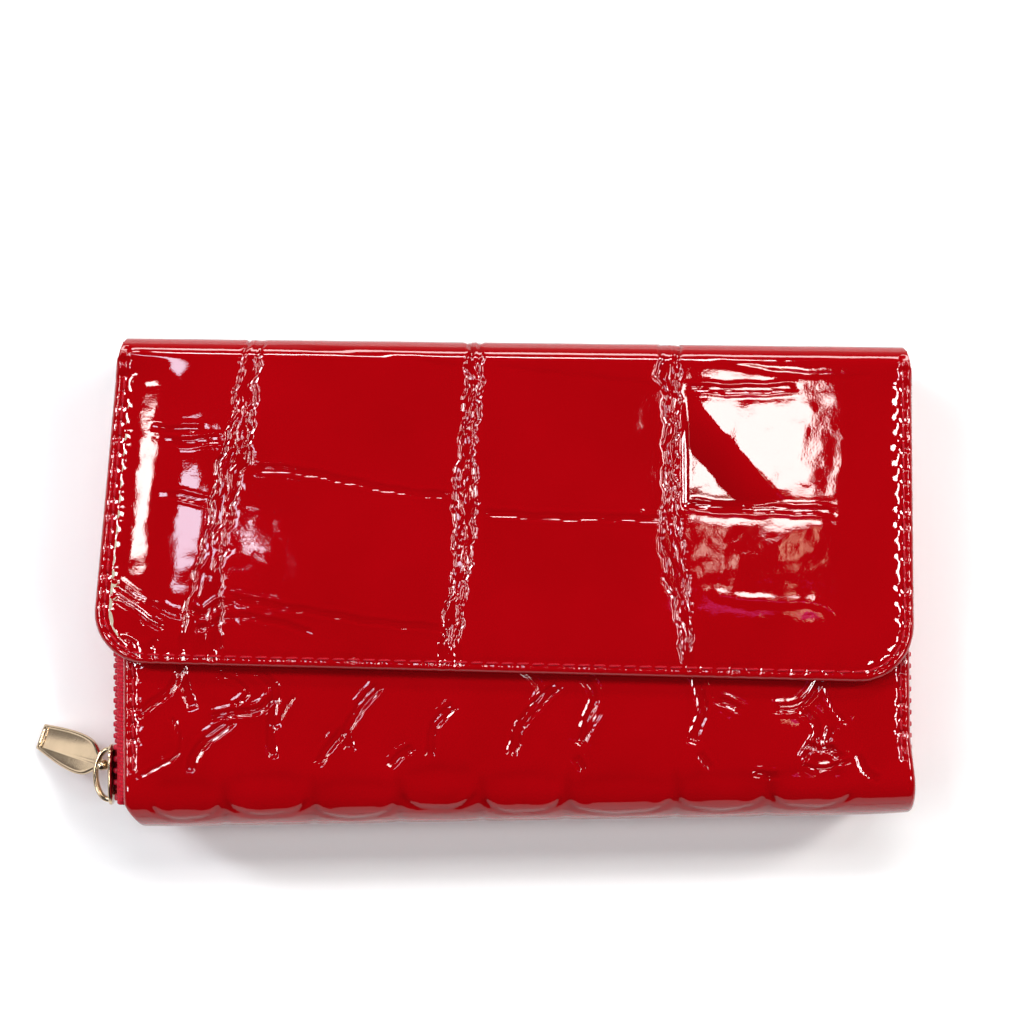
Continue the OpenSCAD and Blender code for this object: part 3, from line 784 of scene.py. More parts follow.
def flap_point(xp, s):
    """The flap's outer leather, xp across before the skew and s along it: base places, outward directions,
    heights over the base, distances from the edge and depths of the embossing."""
    y, z, ny, nz = flap_section(s)
    on_top = s < TOP_RUN + FOLD_RUN
    e = np.where(on_top, flap_inset(xp, np.where(s < TOP_RUN, y, Y_TOP - FOLD_R)), FLAP_HALF - np.abs(xp))
    x_out, y_out = skewed(xp, y)
    x_out = np.where(on_top, x_out, xp)
    y_out = np.where(on_top, y_out, y)
    v = FLAP_FREE + s - FLAP_SLOPE * np.clip(1 - s / TOP_RUN, 0, 1) * xp / (2 * FLAP_HALF)
    calm = smoothstep((e - 2.6) / 1.6) * smoothstep((FLAP_RUN - s) / 3)
    relief = flap_relief(x_out, v) * calm
    near_free = (s < FLAP_R) & (s < flap_half(y) - np.abs(xp))
    line = np.where(near_free, stitch_dents(xp, e), stitch_dents(s, e))
    line = np.where(s > TOP_RUN + FOLD_RUN * 0.3, 0.0, line)
    h = relief + line + np.where(on_top, flap_crown(xp, y), 0) * smoothstep((TOP_RUN + 2 - s) / 8)
    h = h - 0.35 * smoothstep((s - TOP_RUN - FOLD_RUN) / 4)
    out = np.stack([np.zeros(xp.shape), ny, nz], 1)
    return np.stack([x_out, y_out, z], 1), out, h, e, -np.minimum(relief, 0)


def skin(xs, point, s_values, flat_at=0):
    """Points of a sheet of leather built from rows of xs at each s, with the places its turned edges need."""
    s = np.repeat(s_values, xs.shape[1])
    base, out, h, e, groove = point(xs.ravel(), s)
    points = base + out * (h - edge_drop(e))[:, None]
    flat = np.stack([xs.ravel(), s + flat_at, np.zeros(s.shape)], 1)
    return points, flat, groove, base, out


SPINE_TURN = 0.3                            # share of the turned edge's width left on the flap's spine
# rows of a turned edge: how far in from the edge, and how far down as a share of its thickness
TURN = ((0.0, 0.25), (0.0, 0.5), (0.10, 0.78), (0.30, 0.94), (0.8, 1.0), (4.5, 1.0))


def add_turned_edge(points, flat, groove, faces, loop, base, out, inward, thickness, sag=0.0, flip=False):
    """Carries the leather round an edge and a little way under. loop indexes the edge's points in order,
    and sag is how far the leather's under side has come down there."""
    previous = list(loop)
    edge = np.sum((base[loop] - points[loop]) * out[loop], 1)
    for inset, share in TURN:
        under = edge + share * (thickness + sag - edge)
        row = base[loop] - out[loop] * under[:, None] + inward * inset
        start = len(points)
        points = np.vstack([points, row])
        flat = np.vstack([flat, flat[loop] - inward * (inset + under)[:, None]])
        groove = np.concatenate([groove, np.zeros(len(loop))])
        current = list(range(start, start + len(loop)))
        for a, b, c, d in zip(previous, previous[1:], current[1:], current):
            faces.append((a, d, c, b) if flip else (a, b, c, d))
        previous = current
    return points, flat, groove


def columns_between(left, right, steps, marks=()):
    """Places across from left to right, closer together near both edges. marks are lines across the rows,
    and steps the spacing of the columns from one mark to the next."""
    lines = [left + EDGE_STEPS[-1], *marks, right - EDGE_STEPS[-1]]
    parts = [left[:, None] + EDGE_STEPS[:-1]]
    for a, b, step in zip(lines, lines[1:], steps):
        count = max(1, int(round(np.mean(b - a) / step)))
        share = np.arange(count) / count
        parts.append(a[:, None] + share * (b - a)[:, None])
    parts.append(right[:, None] - EDGE_STEPS[::-1])
    return np.hstack(parts)


def band_marks(v, unskewed):
    """Both edges of each wrinkled band at the heights v, for columns that follow the bands."""
    marks = []
    for left, right, _ in BANDS:
        for line, beyond in ((left, -0.7), (right, 0.7)):
            line = np.array(sorted(line, key=lambda p: p[1]))
            marks.append(np.interp(v, line[:, 1], line[:, 0]) + beyond + unskewed)
    return marks


def side_loops(rows, columns):
    """Indices of a grid's points down its left side and down its right one."""
    left = [r * columns for r in range(rows)]
    return left, [i + columns - 1 for i in left]


def leather_piece(name, points, faces, flat, groove):
    """A piece of the outer leather, with painted shade that darkens it where the embossing is deep."""
    return mesh_piece(name, taper(points), faces, PATENT, flat=flat, depth=np.clip(groove / 0.6, 0, 1))


def flap_edge_directions(base, loop, beyond):
    """Inward directions round the flap's outline. beyond marks the places past the fold, where the edge is
    narrower."""
    outline = base[loop][:, :2]
    tangent = np.gradient(outline, axis=0)
    tangent[np.hypot(*tangent.T) < 1e-6] = (0, -1)
    tangent = unit(tangent)
    inward = np.stack([-tangent[:, 1], tangent[:, 0], np.zeros(len(loop))], 1)
    inward *= -np.sign(inward[0][0]) * np.sign(outline[0][0])
    narrow = np.zeros((len(loop), 3))
    narrow[:, 0] = -SPINE_TURN * np.sign(outline[:, 0])
    return np.where(beyond[:, None], narrow, inward)


def build_flap_leather():
    """The flap's leather, in two pieces that meet half way down its spine."""
    foot_at = FLAP_RUN - STRIP_RUN - FOOT_RUN
    free_rows = FLAP_R * (1 - np.cos(np.radians(np.arange(0, 60, 7))))
    top = np.concatenate([free_rows, np.arange(free_rows[-1] + FINE_ROW, TOP_RUN, FINE_ROW),
                          np.linspace(TOP_RUN, TOP_RUN + FOLD_RUN, 15),
                          np.arange(TOP_RUN + FOLD_RUN + 0.6, SPLIT_RUN - 0.3, 0.75), [SPLIT_RUN]])
    low = np.concatenate([np.arange(SPLIT_RUN, foot_at - 0.3, 0.75),
                          np.linspace(foot_at, FLAP_RUN - STRIP_RUN, 10),
                          np.arange(FLAP_RUN - STRIP_RUN + 0.7, FLAP_RUN, 0.7), [FLAP_RUN]])
    made = []
    for name, s_values in (("flap_leather", top), ("flap_spine_leather", low)):
        y = flap_section(s_values)[0]
        half = np.where(s_values < TOP_RUN, flap_end(y), FLAP_HALF)
        fold = np.abs(s_values - TOP_RUN - FOLD_RUN) / 5
        half = half - 1.6 * bell(fold, 1) * (s_values > TOP_RUN - 9)
        half = half - (FLAP_HALF - HALF_W) * smoothstep((s_values - foot_at) / 8)
        on_flap = np.clip(1 - s_values / TOP_RUN, 0, 1)
        marks = band_marks(FLAP_FREE + s_values, FLAP_SKEW * on_flap * TOP_RUN / FLAP_L)
        xs = columns_between(-half, half, (0.55, 0.2, 0.75, 0.2, 0.75, 0.2, 0.55), marks)
        rows, columns = xs.shape
        points, flat, groove, base, out = skin(xs, flap_point, s_values, FLAP_FREE)
        faces = grid_faces(rows, columns)
        left, right = side_loops(rows, columns)
        if name == "flap_leather":
            loop = right[::-1] + list(range(columns - 2, 0, -1)) + left
            s_loop = s_values[np.array(loop) // columns]
            inward = flap_edge_directions(base, loop, s_loop > TOP_RUN - 0.5)
            sag = -0.3 * flap_crown(xs.ravel(), np.repeat(y, columns))[loop]
            sag *= smoothstep((TOP_RUN - s_loop) / 6)
            thickness = FLAP_Z - FLAP_UNDER
            thickness += (TURNED_T - thickness) * smoothstep((s_loop - TOP_RUN) / (SPLIT_RUN - TOP_RUN))
            points, flat, groove = add_turned_edge(points, flat, groove, faces, loop, base, out, inward,
                                                   thickness, sag)
        else:
            for loop, sign, flip in ((left, 1, False), (right, -1, True)):
                inward = np.tile((SPINE_TURN * sign, 0, 0), (len(loop), 1))
                points, flat, groove = add_turned_edge(points, flat, groove, faces, loop, base, out, inward,
                                                       TURNED_T, 0.0, flip)
        made.append(leather_piece(name, points, faces, flat, groove))
    return made


SPINE_POWER = 2.6                           # 2 for an ellipse, more for a squarer bulge
WIDEST_Z = 19.5                             # height where the bottom spine bulges out the most
WALL_Y = cad("flap_spine_lining")[0][1] + 0.25   # middle of the lining of the flap's spine
FRONT_IN = BODY_T - LEATHER_T               # inner face of the front panel
END_CUT = 2.8                               # how much shorter the bottom spine is at its left end


def body_section(q):
    """Place (y, z) and outward direction of the body's leather at q."""
    y, z, ny, nz = (np.zeros(q.shape) for _ in range(4))
    front = q >= Y_FLAT
    y[front], z[front], nz[front] = q[front], BODY_T, 1
    back = q <= Q_BACK
    y[back], z[back], nz[back] = Y_FLAT + (Q_BACK - q[back]), 0, -1
    spine = ~front & ~back
    a = np.linspace(math.pi / 2, -math.pi / 2, 400)
    above, below = BODY_T - WIDEST_Z, WIDEST_Z
    lift = np.where(a > 0, above * np.abs(np.sin(a)) ** (2 / SPINE_POWER), -below * np.abs(np.sin(a)))
    reach = (Y_FLAT - Y_BOTTOM) * np.where(a > 0, np.cos(a) ** (2 / SPINE_POWER), np.cos(a))
    line = np.stack([Y_FLAT - reach, WIDEST_Z + lift], 1)
    run = run_along(line)
    normals = np.gradient(line, run, axis=0)[:, ::-1] * (1, -1)
    along = (Y_FLAT - q[spine]) * run[-1] / SPINE_ARC
    y[spine], z[spine] = np.interp(along, run, line[:, 0]), np.interp(along, run, line[:, 1])
    n = unit(np.stack([np.interp(along, run, normals[:, 0]), np.interp(along, run, normals[:, 1])], 1))
    ny[spine], nz[spine] = n[:, 0], n[:, 1]
    return y, z, ny, nz


def left_half(y):
    """Half the body's width towards its left end, which is cut in where the bottom spine bulges."""
    bulge = (Y_FLAT - y) / (Y_FLAT - Y_BOTTOM)
    return HALF_W - END_CUT * np.clip((bulge - 0.5) / 0.5, 0, 1) ** 1.3


def body_point(x, q):
    """The body's leather, with the same results as flap_point()."""
    y, z, ny, nz = body_section(q)
    side = np.where(x < 0, left_half(y) + x, HALF_W - x)
    e = np.minimum(side, np.where(q > 0, Y_PANEL - q, 99))
    stitched = smoothstep((q - Y_FLAT - 1) / 2)
    relief = panel_relief(x, q) * (1 - stitched * (1 - smoothstep((e - 2.4) / 1.4)))
    line = stitch_dents(q, e) * stitched
    ends = -0.35 * np.clip((np.abs(x) - 66) / 14, 0, 1) ** 2
    h = relief * smoothstep(e / 1.2) + line + ends * (nz > -0.5)
    h = np.where(nz < -0.9, np.minimum(h, 0) - 0.02, h)
    out = np.stack([np.zeros(x.shape), ny, nz], 1)
    return np.stack([x, y, z], 1), out, h, e, -np.minimum(relief, 0)


def build_body_leather():
    """One sheet from the back panel, round the bottom spine and over the front panel."""
    far = Q_BACK - (SEAM_Y - Y_FLAT)        # the seam on the back
    # the rows are coarse where the flap covers the panel
    q_values = np.concatenate([Y_PANEL - EDGE_STEPS[:-1], np.arange(Y_PANEL - 3.2, -12, -1.6),
                               np.arange(-13, Y_FLAT, -FINE_ROW), np.linspace(Y_FLAT, Q_BACK, 74),
                               np.arange(Q_BACK - 0.9, far, -0.9), [far]])
    flare = 1.1 * smoothstep((-q_values - 30) / 14) * smoothstep((q_values - Q_BACK - 6) / 14)
    xs = columns_between(-left_half(body_section(q_values)[0]), np.full(q_values.shape, HALF_W), (0.5,))
    rows, columns = xs.shape
    points, flat, groove, base, out = skin(xs, body_point, q_values)
    widen = 1 + np.repeat(flare, columns) / HALF_W * (points[:, 0] > 0)
    points[:, 0] *= widen
    base[:, 0] *= widen
    faces = grid_faces(rows, columns, flip=True)
    left, right = side_loops(rows, columns)
    loop = left[::-1] + list(range(1, columns - 1)) + right
    inward = [(0, -1, 0) if 0 < i < columns - 1 else (-np.sign(base[i][0]), 0, 0) for i in loop]
    points, flat, groove = add_turned_edge(points, flat, groove, faces, loop, base, out,
                                           np.array(inward, float), TURNED_T)
    return leather_piece("body_leather", points, faces, flat, groove)


# ---------------------------------------------------------------- stitching

def stitch_rings(places, ups, thread_r):
    """Points and faces of a stitch between each two places. ups are the outward directions there."""
    rings, sides = 7, 6
    points, faces = [], []
    for a, b, up in zip(places, places[1:], ups):
        along = b - a
        length = np.linalg.norm(along)
        along = along / length
        across = np.cross(up, along)
        for k in range(rings):
            t = 0.08 + 0.84 * k / (rings - 1)
            lift = 0.36 * math.sin(math.pi * t) - 0.30
            slant = 0.14 * (t - 0.5)
            centre = a + (b - a) * t + up * lift + across * slant
            r = thread_r * (1 if 0 < k < rings - 1 else 0.55)
            for j in range(sides):
                w = math.tau * j / sides
                points.append(centre + r * (math.cos(w) * across + math.sin(w) * up))
        faces += tube_faces(rings, sides, len(points) - rings * sides)
    return np.array(points), faces


def stitch_mesh(name, places, ups):
    """A row of stitches on the outer leather."""
    points, faces = stitch_rings(places, ups, 0.25)
    return mesh_piece(name, taper(points), faces, RED_THREAD)


def flap_stitch_line():
    """Places (xp, s) of the flap's stitch holes: down the left side, along the free edge and up the right."""
    inset = STITCH_INSET
    top = Y_TOP - FOLD_R
    r = FLAP_R - inset
    line = []
    for yp in np.arange(top, FLAP_FREE + FLAP_R, -0.25):
        line.append((-(flap_half(yp) - inset), yp))
    side = flap_half(FLAP_FREE) - FLAP_R
    for a in np.linspace(0, math.pi / 2, 60):
        line.append((-side - r * math.cos(a), FLAP_FREE + FLAP_R - r * math.sin(a)))
    for x in np.arange(-side, side, 0.25):
        line.append((x, FLAP_FREE + inset))
    line += [(-x, y) for x, y in line[:-int(2 * side / 0.25)][::-1]]
    line = np.array(line)
    run = run_along(line)
    holes = np.arange(0.8, run[-1], STITCH_PITCH)
    return np.interp(holes, run, line[:, 0]), np.interp(holes, run, line[:, 1])


def build_flap_stitches():
    """The stitching round the flap, in its pressed line."""
    xp, yp = flap_stitch_line()
    s = yp - FLAP_FREE
    base, out, *_ = flap_point(xp, s)
    return stitch_mesh("flap_stitches", base + out * (flap_crown(xp, yp) - 0.12)[:, None], out)


def build_panel_stitches():
    """The stitching down both sides of the front panel."""
    pieces = []
    for side, name in ((-1, "panel_stitches_left"), (1, "panel_stitches_right")):
        q = np.arange(Y_PANEL - 3, Y_FLAT + 1.5, -STITCH_PITCH)
        q = np.round(q / STITCH_PITCH) * STITCH_PITCH
        x = np.full(q.shape, side * (HALF_W - STITCH_INSET))
        base, out, *_ = body_point(x, q)
        pieces.append(stitch_mesh(name, base + out * -0.3, out))
    return pieces


# ---------------------------------------------------------------- shapes used by the small parts

def edged(low, high, step):
    """Places from low to high, closer together near both ends."""
    near = EDGE_STEPS[:6]
    inner = np.linspace(low + near[-1], high - near[-1], max(2, int((high - low) / step)))
    return np.concatenate([low + near[:-1], inner, high - near[:-1][::-1]])


def sheet_solid(name, left, right, v, low, high, material, wave, seed, hem=0.0, step=2.4, place=None):
    """A closed sheet of cloth or thin leather with rounded edges and, if hem is given, a turned hem along
    its far edge. left and right are its sides at each v, and low and high its two faces."""
    xs = columns_between(left, right, (step,))
    rows, columns = xs.shape
    x, y = xs.ravel(), np.repeat(v, columns)
    side = np.minimum(x - np.repeat(left, columns), np.repeat(right, columns) - x)
    e = np.minimum(side, np.minimum(y - v[0], v[-1] - y))
    half = (high - low) / 2
    drop = 0.85 * half * (1 - np.sqrt(1 - np.clip(1 - e / 0.5, 0, 1) ** 2))
    lump = wobble(x, y, wave, 9, 30, seed, 14)
    from_top = v[-1] - y
    rise = hem * (smoothstep((5.0 - from_top) / 0.5) - 1.3 * bell(from_top - 1.8, 0.35))
    low, high = np.broadcast_to(low, x.shape), np.broadcast_to(high, x.shape)
    top = np.stack([x, y, high - drop + lump + rise], 1)
    under = np.stack([x, y, low + drop + lump - rise], 1)
    points = np.vstack([top, under])
    faces = grid_faces(rows, columns) + grid_faces(rows, columns, rows * columns, flip=True)
    rim = (list(range(columns)) + [r * columns + columns - 1 for r in range(1, rows)]
           + list(range(rows * columns - 2, (rows - 1) * columns - 1, -1))
           + [r * columns for r in range(rows - 2, 0, -1)])
    for a, b in zip(rim, rim[1:] + rim[:1]):
        faces.append((b, a, a + rows * columns, b + rows * columns))
    flat = points * (1, 1, 0)
    return mesh_piece(name, place(points) if place else points, faces, material, flat=flat, solid=True)


def stacked(outline, levels):
    """Points and faces of a solid made of one outline at several (inset, height) levels."""
    outline = np.array(outline, float)
    count = len(outline)
    tangent = unit(np.roll(outline, -1, 0) - np.roll(outline, 1, 0))
    inward = np.stack([-tangent[:, 1], tangent[:, 0]], 1)
    points = [np.hstack([outline + inward * inset, np.full((count, 1), height)]) for inset, height in levels]
    return np.vstack(points), tube_faces(len(levels), count)


def joined(parts):
    """Several (points, faces) as one."""
    points, faces, start = [], [], 0
    for p, f in parts:
        points.append(p)
        faces += [tuple(i + start for i in face) for face in f]
        start += len(p)
    return np.vstack(points), faces


def oval(half_l, half_w, power, count, waist=0.0):
    """An oval that grows squarer with its power, and narrower towards -x with its waist."""
    a = np.arange(count) * math.tau / count
    x = half_l * np.sign(np.cos(a)) * np.abs(np.cos(a)) ** (2 / power)
    y = half_w * np.sign(np.sin(a)) * np.abs(np.sin(a)) ** (2 / power)
    return np.stack([x, y * (1 - waist * (1 - x / half_l) / 2)], 1)


def bevelled(t, r):
    """Levels of a plate of thickness t whose edges are rounded by r."""
    return ((r, 0), (0.3 * r, 0.3 * r), (0, r), (0, t - r), (0.3 * r, t - 0.3 * r), (r, t))


def swept(section, centres, across, up):
    """A closed section carried along centres. across and up are its two directions at each of them."""
    section = np.array(section)
    points = (centres[:, None] + section[None, :, :1] * across[:, None] + section[None, :, 1:] * up[:, None])
    return points.reshape(-1, 3), tube_faces(*points.shape[:2])


def swept_level(section, line, z):
    """A closed section carried along a line that lies level at height z."""
    t = tangents(line)
    across = np.stack([-t[:, 1], t[:, 0], np.zeros(len(line))], 1)
    centres = np.hstack([line, np.full((len(line), 1), z)])
    return swept(section, centres, across, np.tile(UP, (len(line), 1)))


def lathed(profile, count=56):
    """A profile of (radius, height) turned round the Z axis."""
    a = np.arange(count) * math.tau / count
    points = np.vstack([np.stack([r * np.cos(a), r * np.sin(a), np.full(count, h)], 1) for r, h in profile])
    return points, grid_faces(len(profile), count, wrap=True)


# ---------------------------------------------------------------- the main zip

TEETH_LOW, TEETH_HIGH = cad("zip_teeth_front")
BACK_TEETH_LOW, BACK_TEETH_HIGH = cad("zip_teeth_back")
STOP_LOW, STOP_HIGH = cad("zip_stops_front")
TOOTH_OUT = 2.8                             # outer face of the teeth, outwards from the zip's path
TOOTH_PITCH = 2.4
ZIP_MID = (TEETH_LOW[0] + TEETH_HIGH[0]) / 2
ZIP_HALF = (TEETH_HIGH[0] - TEETH_LOW[0]) / 2 - TOOTH_OUT
ZIP_TOP = TEETH_HIGH[1] - TOOTH_OUT
ZIP_R = 8
ZIP_START = STOP_HIGH[1] + 0.2              # where the rows of teeth start, at both sides
ZIP_Z = (TEETH_LOW[2] + BACK_TEETH_HIGH[2]) / 2
ZIP_SIDE = ZIP_TOP - ZIP_R - ZIP_START
ZIP_ARC = ZIP_R * math.pi / 2
ZIP_RUN = 2 * (ZIP_SIDE + ZIP_ARC + ZIP_HALF - ZIP_R)


def zip_frame(s):
    """Place (x, y) on the zip's path at s from its lower left end, and the outward direction there."""
    s = np.asarray(s, float)
    mirrored = s > ZIP_RUN / 2
    t = np.where(mirrored, ZIP_RUN - s, s)
    a = np.clip((t - ZIP_SIDE) / ZIP_R, 0, math.pi / 2)
    out = np.stack([-np.cos(a), np.sin(a)], 1)
    centre = np.stack([np.maximum(t - ZIP_SIDE - ZIP_ARC, 0) - (ZIP_HALF - ZIP_R),
                       np.minimum(ZIP_START + t, ZIP_TOP - ZIP_R)], 1)
    place = centre + ZIP_R * out
    flip = np.where(mirrored, -1, 1)
    place[:, 0] *= flip
    out[:, 0] *= flip
    place[:, 0] += ZIP_MID
    return place, out


def inner_height(y, sign):
    """How far up, or down if sign is -1, the inside of the bottom spine reaches at y."""
    clear = LEATHER_T + 0.3
    deep = Y_FLAT - Y_BOTTOM - clear - 1.1
    share = np.clip((Y_FLAT - y) / deep, 0, 1)
    half_t = BODY_T - WIDEST_Z if sign > 0 else WIDEST_Z
    reach = (half_t - clear) * np.sqrt(1 - share ** 2)
    return WIDEST_Z + sign * np.where(y < Y_FLAT, reach, half_t)


def build_zip_tape(name, line, sign):
    """A tape with ribs along it, which leans out from under a panel's edge and stands up to the teeth."""
    centre = curve_through(line, 7)
    run = run_along(centre)
    thick = 0.26 + 0.05 * np.cos(math.tau * run / 0.9)
    section = two_sided(centre, -sign * thick[:, None])
    s = np.arange(-2.0, ZIP_RUN + 2.01, 0.6)
    place, out = zip_frame(s)
    u = np.tile(section[:, 0], (len(s), 1))
    u += 0.10 * np.sin(s * 0.9)[:, None] * bell(section[:, 1] - line[2][1], 4.0)
    xy = place[:, None] + out[:, None] * u[..., None]
    z = np.tile(section[:, 1], (len(s), 1))
    limit = inner_height(xy[..., 1], sign)
    z = np.minimum(z, limit) if sign > 0 else np.maximum(z, limit)
    points = np.concatenate([xy, z[..., None]], 2).reshape(-1, 3)
    return mesh_piece(name, points, tube_faces(len(s), len(section)), ZIP_TAPE,
                      flat=flat_places(s, there_and_back(run)), solid=True)


# a moulded tooth, along the row and towards the other row, and its (inset, height) levels outwards
TOOTH = ((-0.40, -0.04), (0.40, -0.04), (0.60, 0.12), (0.64, 0.9), (0.50, 1.4), (0.37, 1.8), (0.42, 2.1),
         (0.60, 2.4), (0.50, 2.75), (0.25, 2.9), (-0.25, 2.9), (-0.50, 2.75), (-0.60, 2.4), (-0.42, 2.1),
         (-0.37, 1.8), (-0.50, 1.4), (-0.64, 0.9), (-0.60, 0.12))
TOOTH_LEVELS = ((0.12, 1.0), (0, 1.2), (0, 2.2), (0.06, 2.5), (0.18, 2.72), (0.32, 2.8))


def build_zip_teeth(name, z_outer, sign, phase):
    """One row of interlocking moulded teeth. sign is the way its teeth point, down for the front row."""
    count = int((ZIP_RUN - TOOTH_PITCH) / TOOTH_PITCH)
    s = 0.3 + 0.27 * TOOTH_PITCH + (phase + np.arange(count)) * TOOTH_PITCH
    place, out = zip_frame(s)
    tangent = np.stack([out[:, 1], -out[:, 0]], 1)
    tooth, tooth_faces = stacked(TOOTH, TOOTH_LEVELS)
    parts = []
    for p, o, t in zip(place, out, tangent):
        xy = p + tooth[:, :1] * t + tooth[:, 2:] * o
        parts.append((np.hstack([xy, z_outer + sign * tooth[:, 1:2]]), tooth_faces))
    return mesh_piece(name, *joined(parts), ZIP_TEETH, solid=True)


def build_zip_stops(name, z_low):
    """The moulded blocks that close off both ends of one row."""
    height = TEETH_HIGH[2] - TEETH_LOW[2]
    block, block_faces = stacked(oval(0.7, 0.7, 4.0, 20), bevelled(height, 0.25))
    parts = []
    for side in (-1, 1):
        x = ZIP_MID + side * (ZIP_HALF + 1.9)
        parts.append((block + (x, STOP_LOW[1] + 0.7, z_low), block_faces))
    return mesh_piece(name, *joined(parts), ZIP_TEETH, solid=True)


PLATE_T = 0.8
SLIDER_LOW, SLIDER_HIGH = cad("slider_body")
SLIDER_Y = (SLIDER_LOW[1] + SLIDER_HIGH[1]) / 2
SLIDER_HALF_L = (SLIDER_HIGH[1] - SLIDER_LOW[1]) / 2
SLIDER_HALF_W = (SLIDER_HIGH[2] - SLIDER_LOW[2]) / 2


def build_slider_body():
    """Two plates with folded rims, one each side of the teeth, joined by a post at the mouth."""
    outline = oval(SLIDER_HALF_L, SLIDER_HALF_W, 3.4, 64, 0.16)
    domed = ((0.22, 0), (0.05, 0.07), (0, 0.22), (0, 0.42), (0.08, 0.58), (0.3, 0.7), (1.0, 0.77),
             (2.2, PLATE_T))
    rim = oval(SLIDER_HALF_L - 1.6, 0.34, 5.0, 28)
    rim_z = ZIP_Z - SLIDER_HALF_W + 0.75
    parts = []

    def add(shape, x, y, z):
        points, faces = shape
        parts.append((np.stack([x(points[:, 2]), y + points[:, 0], z + points[:, 1]], 1), faces))

    for side, x0 in ((-1, SLIDER_LOW[0] + PLATE_T), (1, SLIDER_HIGH[0] - PLATE_T)):
        add(stacked(outline, domed), lambda h: x0 + side * h, SLIDER_Y, ZIP_Z)
        add(stacked(rim, bevelled(1.1, 0.15)), lambda h: x0 - side * (h - 0.15), SLIDER_Y, rim_z)
    post_l = SLIDER_HIGH[0] - SLIDER_LOW[0] - PLATE_T
    add(stacked(oval(1.5, 0.24, 2.2, 24), ((0, 0), (0, post_l))), lambda h: SLIDER_LOW[0] + PLATE_T / 2 + h,
        SLIDER_HIGH[1] - 2.5, ZIP_Z)
    return mesh_piece("zip_slider_body", *joined(parts), GOLD, solid=True)


def build_slider_bridge():
    """The broad arch on the slider that the pull tab hangs from, with a swollen foot at each end."""
    low, high = cad("slider_bridge")
    half_l, height, half_w, t = (high[1] - low[1]) / 2, high[0] - low[0], (high[2] - low[2]) / 2, 1.15
    a = np.linspace(-0.06, math.pi + 0.06, 49)
    ellipse = np.stack([-(height - t / 2) * np.sin(a), (half_l - t / 2) * np.cos(a)], 1)
    normal = unit(np.stack([-np.sin(a) * (half_l - t / 2), np.cos(a) * (height - t / 2)], 1))
    centres = np.stack([high[0] + ellipse[:, 0], SLIDER_Y + ellipse[:, 1], np.full(a.shape, ZIP_Z)], 1)
    across = np.hstack([normal, np.zeros((len(a), 1))])
    up = np.tile(UP, (len(a), 1))
    points, faces = swept(oval(t / 2, half_w, 3.2, 28), centres, across, up)
    return mesh_piece("zip_slider_bridge", points, faces, GOLD, solid=True)


JOINT_AT = {j["name"]: np.array(j["pos_m"]) / MM for j in frame["joints"] if j.get("pos_m") is not None}
TAB_L, TAB_T = 20, 1.1
TAB_PITCH, TAB_YAW = math.radians(39.6), math.radians(20)
BRIDGE_HALF_W = 1.4
TAB_GAP = 0.3
TAB_FOOT = ZIP_Z - BRIDGE_HALF_W - TAB_GAP - TAB_T   # height of the tab's under side at its pivot
TAB_HEAD = ZIP_Z + BRIDGE_HALF_W + TAB_GAP           # and of the head that holds it in the arch


def tab_outline(length, half_w):
    """Outline of the boat-shaped tab, from its narrow far end at x = -length to its neck."""
    side = ((-length + 0.2, 2.75), (-length * 0.82, half_w * 0.80), (-length * 0.62, half_w * 0.94),
            (-length * 0.44, half_w), (-length * 0.30, half_w * 0.97), (-length * 0.2, half_w * 0.84),
            (-length * 0.12, half_w * 0.58), (-0.9, 1.25), (0.4, 1.0))
    upper = curve_through(side, 5)
    end = [(-length, y) for y in (-2.5, -1.2, 0, 1.2, 2.5)]
    nose = [(0.85, 0.65), (1.0, 0), (0.85, -0.65)]
    loop = [tuple(p) for p in upper] + nose + [(x, -y) for x, y in upper[::-1]] + end
    return np.array(loop)[::-1]


def tab_place(points):
    """Moves the pull tab from its own flat frame to where it hangs."""
    x, y, z = np.asarray(points, float).T
    across = x * math.cos(TAB_PITCH) - z * math.sin(TAB_PITCH)
    up = TAB_FOOT + x * math.sin(TAB_PITCH) + z * math.cos(TAB_PITCH)
    pivot = JOINT_AT["pull_swing"]
    return np.stack([pivot[0] + across * math.cos(TAB_YAW) + y * math.sin(TAB_YAW),
                     pivot[1] - across * math.sin(TAB_YAW) + y * math.cos(TAB_YAW), up], 1)


def build_pull_tab():
    """A flat boat-shaped tab with a thin raised rim, its post through the arch and a domed head on it."""
    levels = ((0.3, 0), (0.08, 0.07), (0, 0.25), (0, 0.78), (0.06, 0.95), (0.2, 1.06), (0.42, 1.1),
              (0.6, 1.06), (0.68, 0.96), (0.8, 0.93))
    blade, faces = stacked(tab_outline(TAB_L, 4.15), levels)
    parts = [(tab_place(blade), faces)]
    loop = oval(0.42, 2.1, 2.6, 41)         # the small raised ring near the tab's far end
    loop = np.vstack([loop, loop[:1]]) + (-TAB_L + 1.35, 0)
    ring, faces = swept_level(oval(0.13, 0.13, 2, 10), loop, 0.98)
    parts.append((tab_place(ring), faces))
    foot = ((0.01, -0.15), (0.9, -0.1), (1.1, 0.2), (1.1, 0.9), (0.8, 1.1), (0.5, 1.2))
    head = ((0.5, 0), (0.82, 0.02), (0.9, 0.15), (0.84, 0.38), (0.6, 0.54), (0.3, 0.6), (0.01, 0.61))
    profile = [(r, TAB_FOOT + z) for r, z in foot] + [(r, TAB_HEAD + z) for r, z in head]
    post, faces = lathed(profile, 36)
    pivot = JOINT_AT["pull_swing"]
    parts.append((post + (pivot[0], pivot[1], 0), faces))
    return mesh_piece("zip_pull_tab", *joined(parts), GOLD, solid=True)

# ---------------------------------------------------------------- linings, slips, gussets and the coin pocket


